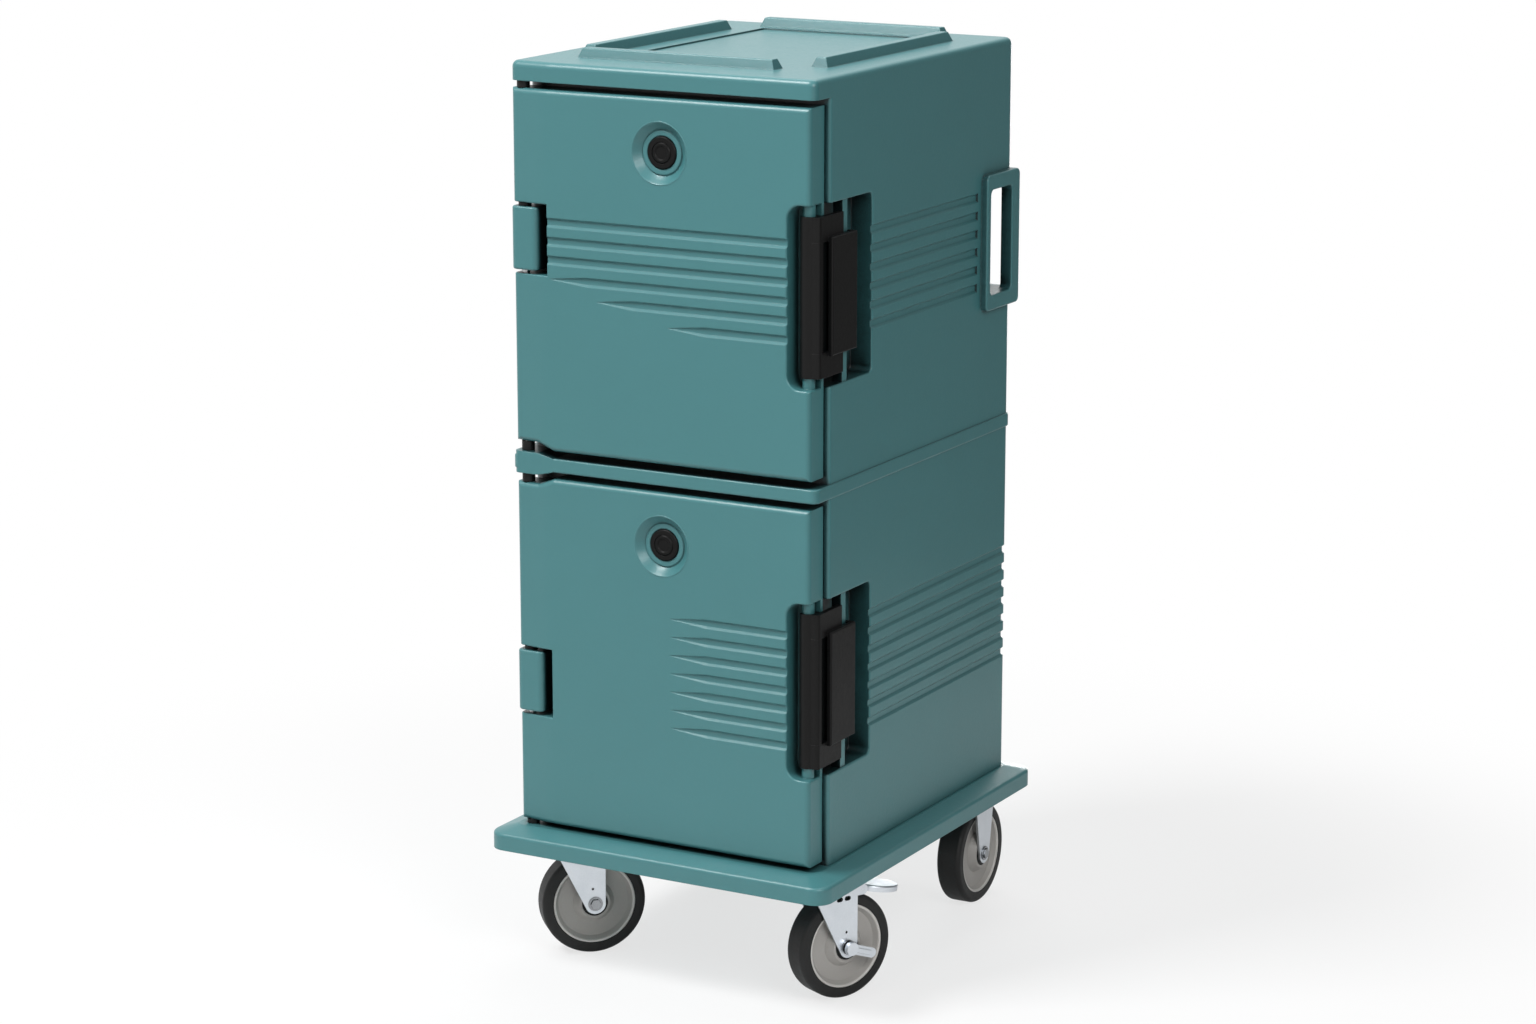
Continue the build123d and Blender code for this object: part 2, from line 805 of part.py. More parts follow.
def groove_points(share):
    """Section of a door groove at a share of its full size, with its mouth open."""
    deep = groove_depth * share
    wide = groove_height * share
    floor = groove_floor * share
    return (
        (-deep, wide),
        (-deep, -wide),
        (0, -wide / 2),
        (deep, -floor / 2),
        (deep, floor / 2),
        (0, wide / 2),
    )


def groove_plane(x, level):
    """A plane across a door groove, with depth as its X and height as its Y."""
    return Plane(origin=(x, front, level), x_dir=(0, 1, 0), z_dir=(1, 0, 0))


def door_groove(start, level, fade):
    """One groove in a door's face, from its start to the latch recess, as a cutter."""
    with BuildPart() as cutter:
        with BuildSketch(groove_plane(start + fade, level)) as full:
            Polygon(*groove_points(1.0), align=None)
        extrude(amount=door_right - start - fade)
        if fade:
            with BuildSketch(groove_plane(start, level)) as tip:
                Polygon(*groove_points(groove_tip_share), align=None)
            loft(sections=[tip.sketch, full.sketch], ruled=True)
    return cutter.part


for place in places:
    recess_low, recess_high = recess_span(place)
    notch_low, notch_high = notch_span(place)
    cavity_mid = (place.cavity_floor + place.cavity_roof) / 2
    panel_wide = 2 * (cavity_half + panel_overlap)
    panel_tall = place.cavity_roof - place.cavity_floor + 2 * panel_overlap
    panel_front_face = door_back - door_panel_thickness
    vent_axis = Axis((0, front, place.vent), (0, 1, 0))

    # Foam core of the door, clear of the vent's boss
    with BuildPart() as door_insulation:
        with BuildSketch(Plane.XZ.offset(-panel_front_face)):
            with Locations((0, cavity_mid)):
                Rectangle(panel_wide, panel_tall)
            with Locations((0, place.vent)):
                Circle(vent_boss_radius, mode=Mode.SUBTRACT)
        extrude(amount=panel_front_face - front - door_front_skin)
    write_piece(door_insulation, f"{place.name}_door_insulation")

    # Inner skin of the door
    with BuildPart() as door_panel:
        with BuildSketch(Plane.XZ.offset(-door_back)):
            with Locations((0, cavity_mid)):
                Rectangle(panel_wide, panel_tall)
            with Locations((0, place.vent)):
                Circle(vent_sleeve_radius + vent_sleeve_gap, mode=Mode.SUBTRACT)
        extrude(amount=door_panel_thickness)
    write_piece(door_panel, f"{place.name}_door_panel")

    # Seal that closes on the jamb round the compartment
    with BuildPart() as gasket:
        with BuildSketch(Plane.XZ.offset(-(jamb - axial_clearance))):
            frame_sketch(place, gasket_inset, gasket_width)
        extrude(amount=jamb - axial_clearance - door_back + gasket_seat)
        fillet(gasket.faces().sort_by(Axis.Y)[-1].edges(), gasket_lip_round)
    write_piece(gasket, f"{place.name}_door_gasket")

    # Moulded door
    with BuildPart() as door_shell:
        with BuildSketch(Plane.XZ.offset(-door_back)):
            with BuildLine():
                Polyline(*door_outline(place), close=True)
            make_face()
        extrude(amount=door_thickness)

        # The face leans back towards the hinge, with a soft ridge where it starts
        with BuildSketch(Plane.XY.offset(place.foot)):
            with BuildLine():
                Polyline(
                    (door_left, front),
                    (facet_end, front),
                    (door_left, front + door_facet_lean),
                    close=True,
                )
            make_face()
        extrude(amount=door_height, mode=Mode.SUBTRACT)
        uprights = door_shell.edges().filter_by(Axis.Z)
        fillet(uprights.sort_by_distance((facet_end, front, cavity_mid))[0], facet_blend)
        rim = door_shell.faces().filter_by(looks_forward).edges()
        sides = rim.filter_by(Axis.Z).group_by(Axis.X)
        fillet(rim.filter_by(Axis.Z, reverse=True) + sides[0] + sides[-1], door_edge_round)
        heel = door_shell.edges().filter_by(Axis.Z).group_by(Axis.X)[0].sort_by(Axis.Y)[-1]
        fillet(heel, door_heel_round)

        # Dished vent seat and the hole behind it
        with BuildSketch(Plane.YZ):
            with BuildLine():
                Polyline(
                    (front, place.vent),
                    (front, place.vent + vent_dish_radius),
                    (front + vent_dish_depth, place.vent + vent_floor_radius),
                    (front + vent_dish_depth, place.vent + vent_sleeve_radius + vent_sleeve_gap),
                    (door_back, place.vent + vent_sleeve_radius + vent_sleeve_gap),
                    (door_back, place.vent),
                    close=True,
                )
            make_face()
        revolve(axis=vent_axis, mode=Mode.SUBTRACT)

        # Notch for the body's knuckle and recess for the latch, each with a rounded rim
        block(
            (door_left - notch_end_gap, front - notch_end_gap, notch_low),
            (notch_right, door_back, notch_high),
            Mode.SUBTRACT,
        )
        face_edges = door_shell.edges().filter_by_position(
            Axis.Y, front - notch_edge_round, front + door_facet_lean
        )
        notch_rim = face_edges.filter_by_position(
            Axis.X, door_left, notch_right + notch_edge_round
        )
        fillet(
            notch_rim.filter_by_position(
                Axis.Z, notch_low - notch_edge_round, notch_high + notch_edge_round
            ),
            notch_edge_round,
        )
        with BuildSketch(Plane.XZ.offset(-(front + door_recess_depth))):
            with Locations((door_right - door_recess_width / 2 + seam_overlap / 2, place.latch_mid)):
                RectangleRounded(
                    door_recess_width + seam_overlap, latch_recess_height, door_recess_corner
                )
        extrude(amount=door_recess_depth, mode=Mode.SUBTRACT)
        face_edges = door_shell.edges().filter_by_position(
            Axis.Y, front - door_recess_round, front + door_edge_round / 2
        )
        recess_rim = face_edges.filter_by_position(
            Axis.X, door_right - door_recess_width - door_recess_round, door_right
        )
        fillet(
            recess_rim.filter_by_position(
                Axis.Z, recess_low - door_recess_round, recess_high + door_recess_round
            ),
            door_recess_round,
        )
        rod(post_x, post_y, post_radius, recess_low, recess_high)

        # Mould grooves that run out into the latch recess
        for number, level in enumerate(place.grooves):
            if place.boss_at_foot and number < long_upper_grooves:
                start = notch_right
                fade = 0.0
            elif place.boss_at_foot:
                stepped = groove_short_start + groove_start_step * (number - upper_groove_count + 1)
                start = max(stepped, notch_right + groove_notch_gap)
                fade = groove_fade
            else:
                start = groove_short_start
                fade = groove_fade
            add(door_groove(start, level, fade), mode=Mode.SUBTRACT)

        # Hollow for the foam and the inner skin, seat for the seal, bore for the pin
        add(door_insulation.part, mode=Mode.SUBTRACT)
        with BuildSketch(Plane.XZ.offset(-door_back)):
            with Locations((0, cavity_mid)):
                Rectangle(panel_wide, panel_tall)
        extrude(amount=door_panel_thickness, mode=Mode.SUBTRACT)
        with BuildSketch(Plane.XZ.offset(-door_back)):
            frame_sketch(place, gasket_inset, gasket_width)
        extrude(amount=gasket_seat, mode=Mode.SUBTRACT)
        rod(hinge_x, hinge_y, pin_bore, place.foot, place.head, Mode.SUBTRACT)
    write_piece(door_shell, f"{place.name}_door_shell")

    # Vent fitting: flange in the dish and a sleeve through the door
    vent_floor = front + vent_dish_depth
    flange_face = vent_floor - vent_flange_thickness
    button_seat = flange_face + vent_pocket_depth
    with BuildPart() as vent_body:
        with BuildSketch(Plane.YZ):
            with BuildLine():
                Polyline(
                    (button_seat, place.vent + vent_bore_radius),
                    (button_seat, place.vent + vent_button_radius + vent_button_gap),
                    (flange_face, place.vent + vent_button_radius + vent_button_gap),
                    (flange_face, place.vent + vent_flange_radius - vent_flange_chamfer),
                    (flange_face + vent_flange_chamfer, place.vent + vent_flange_radius),
                    (vent_floor, place.vent + vent_flange_radius),
                    (vent_floor, place.vent + vent_sleeve_radius),
                    (door_back, place.vent + vent_sleeve_radius),
                    (door_back, place.vent + vent_bore_radius),
                    close=True,
                )
            make_face()
        revolve(axis=vent_axis)
    write_piece(vent_body, f"{place.name}_vent_body")

    # Vent plug: a dimpled button on a stem that slides in the sleeve
    button_face = flange_face - vent_button_proud
    stem_radius = vent_bore_radius - vent_stem_clearance
    with BuildPart() as vent_plug:
        with BuildSketch(Plane.YZ):
            with BuildLine():
                Polyline(
                    (button_face + vent_pull_dimple_depth, place.vent),
                    (button_face + vent_pull_dimple_depth, place.vent + vent_pull_dimple),
                    (button_face, place.vent + vent_pull_dimple + vent_pull_dimple_depth),
                    (button_face, place.vent + vent_button_radius - vent_pull_dimple_depth),
                    (button_face + vent_pull_dimple_depth, place.vent + vent_button_radius),
                    (button_seat - axial_clearance, place.vent + vent_button_radius),
                    (button_seat - axial_clearance, place.vent + stem_radius),
                    (button_seat + vent_stem_length, place.vent + stem_radius),
                    (button_seat + vent_stem_length, place.vent),
                    close=True,
                )
            make_face()
        revolve(axis=vent_axis)
    write_piece(vent_plug, f"{place.name}_vent_plug")

    # Latch: a barrel that clips on the post, two arms, a pull plate and the hook behind it
    barrel_foot = place.latch_mid - barrel_height / 2
    plate_foot = place.latch_mid - plate_height / 2
    with BuildPart() as latch:
        rod(post_x, post_y, barrel_radius, barrel_foot, barrel_foot + barrel_height)
        for arm_foot in (barrel_foot, barrel_foot + barrel_height - arm_height):
            arm_front = post_y - arm_lead
            block((post_x, arm_front, arm_foot), (arm_outer, arm_end, arm_foot + arm_height))
            arm_corner = (arm_outer, arm_front, arm_foot + arm_height / 2)
            uprights = latch.edges().filter_by(Axis.Z)
            fillet(uprights.sort_by_distance(arm_corner)[0], arm_round)
            block(
                (post_x - barrel_radius, post_y + barrel_radius, arm_foot),
                (arm_inner, arm_end, arm_foot + arm_height),
                Mode.SUBTRACT,
            )
        block(
            (arm_outer, post_y + plate_front, plate_foot),
            (plate_outer, post_y + plate_back, plate_foot + plate_height),
        )
        fillet(latch.faces().sort_by(Axis.X)[-1].edges(), plate_edge_round)
        block(
            (arm_outer - hook_reach, hook_front, plate_foot),
            (arm_outer, hook_front + hook_thickness, plate_foot + plate_height),
        )
        rod(
            post_x,
            post_y,
            post_radius + post_clearance,
            barrel_foot,
            barrel_foot + barrel_height,
            Mode.SUBTRACT,
        )
        block(
            (post_x - barrel_radius, post_y - barrel_slot / 2, barrel_foot),
            (post_x, post_y + barrel_slot / 2, barrel_foot + barrel_height),
            Mode.SUBTRACT,
        )
    write_piece(latch, f"{place.name}_latch")


class CasterFrame:
    """Planes of one caster: its swivel line, its trailing direction and its axle."""

    def __init__(self, spot, angle, offset):
        self.spot = spot
        self.ahead = (cos(radians(angle)), sin(radians(angle)), 0.0)
        self.axle = (sin(radians(angle)), -cos(radians(angle)), 0.0)
        self.hub = (
            spot[0] + offset * self.ahead[0],
            spot[1] + offset * self.ahead[1],
            wheel_radius,
        )
        self.offset = offset
        self.axle_line = Axis(self.hub, self.axle)

    def flat(self, height):
        """A level plane on the swivel line whose X runs along the trail."""
        return Plane(origin=(*self.spot, height), x_dir=self.ahead, z_dir=(0, 0, 1))

    def sloped(self, along, height, slope):
        """A plane at a point of the trail that falls away from the swivel line."""
        run = cos(radians(slope))
        fall = sin(radians(slope))
        origin = (
            self.spot[0] + along * self.ahead[0],
            self.spot[1] + along * self.ahead[1],
            height,
        )
        return Plane(
            origin=origin,
            x_dir=(self.ahead[0] * run, self.ahead[1] * run, -fall),
            z_dir=(self.ahead[0] * fall, self.ahead[1] * fall, run),
        )

    def section(self):
        """The upright plane through the axle, with the axle as X and height above it as Y."""
        return Plane(origin=self.hub, x_dir=self.axle, z_dir=(-self.ahead[0], -self.ahead[1], 0))

    def upright(self, along):
        """A plane square to the axle at a distance along it, X along the trail, Y up."""
        origin = (
            self.spot[0] + along * self.axle[0],
            self.spot[1] + along * self.axle[1],
            0.0,
        )
        return Plane(origin=origin, x_dir=self.ahead, z_dir=self.axle)


def turned_piece(frame, side_points):
    """A piece turned about the axle, from the outline of one side and its mirror image."""
    mirrored = [(-along, radius) for along, radius in reversed(side_points)]
    with BuildPart() as piece:
        with BuildSketch(frame.section()):
            with BuildLine():
                Polyline(*side_points, *mirrored, close=True)
            make_face()
        revolve(axis=frame.axle_line)
    return piece


def build_wheel(frame, name):
    """Tyre, dished core and sealed bearing of one wheel."""
    with BuildPart() as tyre:
        with BuildSketch(frame.section()) as tread:
            with Locations((0, (rim_radius + wheel_radius) / 2)):
                Rectangle(wheel_width, wheel_radius - rim_radius)
            fillet(tread.vertices().group_by(Axis.Y)[-1], tread_round)
        revolve(axis=frame.axle_line)
    write_piece(tyre, f"{name}_tyre")

    web_half = core_web / 2
    core_half = core_width / 2
    hub_half = hub_width / 2
    seal_seat = hub_half - seal_thickness
    rim_inner = rim_radius - core_rim_wall
    core_side = (
        (core_half, rim_radius),
        (core_half, rim_inner),
        (web_half, rim_inner - core_rim_slope),
        (web_half, core_hub_radius + core_hub_slope),
        (hub_half, core_hub_radius),
        (hub_half, seal_radius),
        (seal_seat, seal_radius),
        (seal_seat, bearing_radius),
    )
    write_piece(turned_piece(frame, core_side), f"{name}_wheel_core")
    bearing_side = (
        (seal_seat, bearing_radius),
        (seal_seat, seal_radius),
        (hub_half, seal_radius),
        (hub_half, axle_radius + axle_clearance),
    )
    write_piece(turned_piece(frame, bearing_side), f"{name}_wheel_bearing")


def build_axle(frame, name):
    """Axle bolt through the fork, with washers, a hexagon head and a nut."""
    with BuildPart() as axle:
        with BuildSketch(frame.upright(-fork_outer)):
            with Locations((frame.offset, wheel_radius)):
                Circle(axle_radius)
        extrude(amount=2 * fork_outer)
        for end in (-1, 1):
            with BuildSketch(frame.upright(end * fork_outer)) as washer:
                with Locations((frame.offset, wheel_radius)):
                    Circle(washer_radius)
            extrude(washer.sketch, amount=end * washer_thickness)
            with BuildSketch(frame.upright(end * fork_outer)) as head:
                with Locations((frame.offset, wheel_radius)):
                    RegularPolygon(axle_head_radius, 6)
            extrude(head.sketch, amount=end * axle_head_length)
    write_piece(axle, f"{name}_axle")


def leg_outline(top_front, top_back, offset, top):
    """Side view of a fork leg: wide at the crown, round at the axle."""
    eye = Vector(offset, wheel_radius)
    fall = top - wheel_radius
    lean_front = atan2(fall, offset - top_front)
    lean_back = atan2(fall, top_back - offset)
    front_tangent = eye + Vector(-sin(lean_front), -cos(lean_front)) * fork_eye_radius
    back_tangent = eye + Vector(sin(lean_back), -cos(lean_back)) * fork_eye_radius
    with BuildLine() as outline:
        Polyline(front_tangent, (top_front, top), (top_back, top), back_tangent)
        ThreePointArc(front_tangent, eye - Vector(0, fork_eye_radius), back_tangent)
    make_face(outline.edges())


def mounting_plate(spot):
    """Rectangular caster plate with its four bolt holes."""
    with BuildSketch(Plane.XY.offset(caster_height - plate_sheet)) as plate:
        with Locations(spot):
            RectangleRounded(plate_length, plate_breadth, plate_corner)
            with GridLocations(bolt_spacing_x, bolt_spacing_y, 2, 2):
                Circle(bolt_radius + bolt_clearance, mode=Mode.SUBTRACT)
    extrude(plate.sketch, amount=plate_sheet)


def build_swivel_caster(frame, name):
    """Top plate, kingpin, swivel bearing, fork, axle and brake pedal of a front caster."""
    with BuildPart() as top_plate:
        mounting_plate(frame.spot)
        with BuildSketch(Plane.XY.offset(race_bottom)):
            with Locations(frame.spot):
                Circle(race_radius)
        extrude(amount=race_height)
        chamfer(top_plate.faces().sort_by(Axis.Z)[0].edges(), race_height / 4)
        rod(*frame.spot, kingpin_radius + axle_clearance, race_bottom, caster_height, Mode.SUBTRACT)
    write_piece(top_plate, f"{name}_top_plate")

    nut_top = crown_bottom - kingpin_gap
    with BuildPart() as kingpin:
        rod(*frame.spot, kingpin_radius, nut_top - kingpin_nut_height, caster_height)
        with BuildSketch(Plane.XY.offset(nut_top - kingpin_nut_height)):
            with Locations(frame.spot):
                RegularPolygon(kingpin_nut_radius, 6)
        extrude(amount=kingpin_nut_height)
    write_piece(kingpin, f"{name}_kingpin")

    with BuildPart() as swivel_bearing:
        with BuildSketch(Plane.XY.offset(crown_top)):
            with Locations(frame.spot):
                Circle(swivel_ring_outer)
                Circle(swivel_ring_inner, mode=Mode.SUBTRACT)
        extrude(amount=race_bottom - axial_clearance - crown_top)
        chamfer(swivel_bearing.edges().group_by(Axis.Z)[-1], (race_bottom - crown_top) / 4)
    write_piece(swivel_bearing, f"{name}_swivel_bearing")

    with BuildPart() as fork:
        with BuildSketch(frame.flat(crown_bottom)):
            with Locations(((leg_back - fork_front) / 2, 0)):
                Rectangle(leg_back + fork_front, 2 * fork_outer)
            Circle(race_radius)
        extrude(amount=fork_crown_sheet)
        for along in (-fork_outer, fork_inner):
            with BuildSketch(frame.upright(along)):
                leg_outline(-fork_front, leg_back, trail, crown_top)
                with Locations(brake_pivot):
                    Circle(brake_ear_radius)
                with Locations((leg_back, brake_pivot[1])):
                    Rectangle(2 * brake_ear_reach, 2 * brake_ear_radius)
            extrude(amount=fork_sheet)
        with BuildSketch(frame.upright(-fork_outer)):
            with Locations((trail, wheel_radius)):
                Circle(axle_radius + axle_clearance)
            with Locations(brake_pivot):
                Circle(brake_pin_radius + axle_clearance)
            with Locations((trail - fork_hole_lead, wheel_radius + fork_hole_rise)):
                Circle(fork_hole_radius)
            for slot_x in fork_slots:
                with Locations((slot_x, crown_bottom - fork_slot_drop)):
                    SlotOverall(fork_slot_length, fork_slot_width)
        extrude(amount=2 * fork_outer, mode=Mode.SUBTRACT)

        # In front of a crease each leg thins towards its edge
        leg_foot = wheel_radius - fork_eye_radius
        for sign in (-1, 1):
            with BuildSketch(frame.flat(leg_foot)):
                with BuildLine():
                    Polyline(
                        (fork_crease, sign * fork_outer),
                        (-fork_front, sign * fork_outer),
                        (-fork_front, sign * (fork_outer - fork_crease_depth)),
                        close=True,
                    )
                make_face()
            extrude(amount=crown_top - leg_foot, mode=Mode.SUBTRACT)
        rod(*frame.spot, kingpin_radius + axle_clearance, crown_bottom, crown_top, Mode.SUBTRACT)
    write_piece(fork, f"{name}_fork")

    build_axle(frame, name)

    # Brake pedal: a pivot tube with the shoe below it, an arm and a hollow oval pad
    pivot_x, pivot_z = brake_pivot
    shoe_x = pivot_x + brake_hub_radius - brake_shoe_width / 4
    pedal_plane = frame.sloped(pivot_x, pivot_z, pedal_slope)
    pad_foot = pedal_plane.offset(-pedal_skirt)
    with BuildPart() as pedal:
        with BuildSketch(pad_foot):
            with Locations((pedal_pad_reach, 0)):
                Ellipse(pedal_pad_length / 2, pedal_pad_width / 2)
        extrude(amount=pedal_skirt + pedal_pad_top)
        fillet(pedal.edges().group_by(Axis.Z)[-1], pedal_pad_round)
        with BuildSketch(pad_foot):
            with Locations((pedal_pad_reach, 0)):
                Ellipse(
                    pedal_pad_length / 2 - pedal_pad_wall, pedal_pad_width / 2 - pedal_pad_wall
                )
        extrude(amount=pedal_skirt + pedal_pad_top - pedal_pad_sheet, mode=Mode.SUBTRACT)
        with BuildSketch(pedal_plane.offset(-pedal_arm_sheet / 2)):
            with Locations((pedal_pad_reach / 2, 0)):
                Rectangle(pedal_pad_reach, pedal_arm_width)
        extrude(amount=pedal_arm_sheet)
        with BuildSketch(frame.upright(-pedal_half_width)):
            with Locations(brake_pivot):
                Circle(brake_hub_radius)
            with Locations((shoe_x, pivot_z - brake_shoe_depth / 2)):
                Rectangle(brake_shoe_width, brake_shoe_depth)
        extrude(amount=2 * pedal_half_width)
        with BuildSketch(frame.upright(-fork_outer)):
            with Locations(brake_pivot):
                Circle(brake_pin_radius)
        extrude(amount=2 * fork_outer)
    write_piece(pedal, f"{name}_brake_pedal")


left_frame = CasterFrame(caster_spots["front_left"], left_swivel_angle, trail)
right_frame = CasterFrame(caster_spots["front_right"], right_swivel_angle, trail)
for frame, name in ((left_frame, "front_left"), (right_frame, "front_right")):
    build_swivel_caster(frame, name)
    build_wheel(frame, name)

# Wing lever that turns on the outer end of the right front axle
with BuildPart() as lock_lever:
    lever_face = fork_outer + axle_head_length + axial_clearance
    with BuildSketch(right_frame.upright(lever_face)):
        with Locations((trail, wheel_radius)):
            Circle(lever_hub_radius)
    extrude(amount=lever_hub_length)
    with BuildSketch(right_frame.upright(lever_face)):
        with Locations(Location((trail, wheel_radius), -lever_angle)):
            with Locations((lever_length / 2, 0)):
                SlotOverall(lever_length, lever_tip_width)
    extrude(amount=lever_sheet)
    with BuildSketch(right_frame.upright(lever_face)):
        with Locations(Location((trail, wheel_radius), -lever_angle)):
            with Locations((lever_ridge_length / 2, 0)):
                SlotOverall(lever_ridge_length, lever_ridge_width)
    extrude(amount=lever_ridge_height)
write_piece(lock_lever, "front_right_lock_lever")

# Fixed rear casters
leg_half = plate_breadth / 2 - plate_corner
for name in ("rear_left", "rear_right"):
    frame = CasterFrame(caster_spots[name], fixed_caster_angle, 0.0)
    with BuildPart() as bracket:
        mounting_plate(frame.spot)
        for along in (-fork_outer, fork_inner):
            with BuildSketch(frame.upright(along)):
                leg_outline(-leg_half, leg_half, 0.0, caster_height - plate_sheet)
            extrude(amount=fork_sheet)
        with BuildSketch(frame.upright(-fork_outer)):
            with Locations((0, wheel_radius)):
                Circle(axle_radius + axle_clearance)
        extrude(amount=2 * fork_outer, mode=Mode.SUBTRACT)
    write_piece(bracket, f"{name}_bracket")
    build_axle(frame, name)
    build_wheel(frame, name)

# Bolts that hold the caster plates to the base
with BuildPart() as caster_bolts:
    for spot in caster_spots.values():
        with BuildSketch(Plane.XY.offset(caster_height - plate_sheet - bolt_head_height)):
            with Locations(spot):
                with GridLocations(bolt_spacing_x, bolt_spacing_y, 2, 2):
                    RegularPolygon(bolt_head_radius, 6)
        extrude(amount=bolt_head_height)
        with BuildSketch(Plane.XY.offset(caster_height - plate_sheet)):
            with Locations(spot):
                with GridLocations(bolt_spacing_x, bolt_spacing_y, 2, 2):
                    Circle(bolt_radius)
        extrude(amount=plate_sheet + bolt_depth)
write_piece(caster_bolts, "caster_bolts")
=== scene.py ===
"""Studio picture of an insulated cart for food pans, dressed around its CAD frame."""

import json
import logging
import math
from dataclasses import dataclass, field, replace
from enum import Enum

import bmesh
import bpy
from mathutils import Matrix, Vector

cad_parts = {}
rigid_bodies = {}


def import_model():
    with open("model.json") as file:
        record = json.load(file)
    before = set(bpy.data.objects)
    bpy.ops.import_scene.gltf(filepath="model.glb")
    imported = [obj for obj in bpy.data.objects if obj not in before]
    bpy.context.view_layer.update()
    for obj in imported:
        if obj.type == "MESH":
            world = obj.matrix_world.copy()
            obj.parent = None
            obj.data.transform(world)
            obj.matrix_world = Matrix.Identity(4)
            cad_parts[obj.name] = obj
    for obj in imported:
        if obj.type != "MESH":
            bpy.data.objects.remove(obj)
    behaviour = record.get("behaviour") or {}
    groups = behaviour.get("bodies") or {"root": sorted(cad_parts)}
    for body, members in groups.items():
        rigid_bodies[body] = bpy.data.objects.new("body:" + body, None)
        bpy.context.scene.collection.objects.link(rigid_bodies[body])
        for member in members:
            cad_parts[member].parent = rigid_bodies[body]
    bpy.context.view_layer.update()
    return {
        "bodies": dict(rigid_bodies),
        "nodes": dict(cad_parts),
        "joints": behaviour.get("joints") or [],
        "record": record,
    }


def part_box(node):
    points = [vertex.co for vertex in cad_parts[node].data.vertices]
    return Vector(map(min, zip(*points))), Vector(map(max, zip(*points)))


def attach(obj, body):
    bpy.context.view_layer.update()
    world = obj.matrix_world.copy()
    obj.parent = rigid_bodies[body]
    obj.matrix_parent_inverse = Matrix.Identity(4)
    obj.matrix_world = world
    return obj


LOG = logging.getLogger("insulated_cart")
MM = 0.001
DOORS = ("upper", "lower")
WHEELS = ("front_left", "front_right", "rear_left", "rear_right")

Colour = tuple[float, float, float]
Point = tuple[float, float, float]

ORIGIN: Point = (0.0, 0.0, 0.0)
FORWARDS: Point = (0.0, -1.0, 0.0)
INWARDS: Point = (-1.0, 0.0, 0.0)
WHITE: Colour = (1.0, 1.0, 1.0)
TEAL_DARK: Colour = (0.057, 0.198, 0.211)
TEAL_LIGHT: Colour = (0.067, 0.226, 0.241)


class Slot(Enum):
    """Material slots of the record."""

    BODY = "body_plastic"
    LINER = "liner_plastic"
    FOAM = "foam"
    SEAL = "seal_rubber"
    LATCH = "latch_nylon"
    VENT = "vent_plastic"
    PIN = "pin_steel"
    ZINC = "zinc_steel"
    NYLON = "bearing_nylon"
    BUSH = "wheel_bush"
    TYRE = "tyre_rubber"
    CORE = "wheel_core"


class Effect(Enum):
    """Shared shader node groups."""

    MOTTLE = "colour_mottle"
    GRAIN = "moulded_grain"
    BRUSH = "brushed_lines"
    HOLLOW = "hollow_shade"


def opaque(colour: Colour) -> tuple[float, float, float, float]:
    """Give a colour its full alpha."""
    return (*colour, 1.0)


def grey(level: float) -> Colour:
    """Give a colour with the same level in all three channels."""
    return (level, level, level)


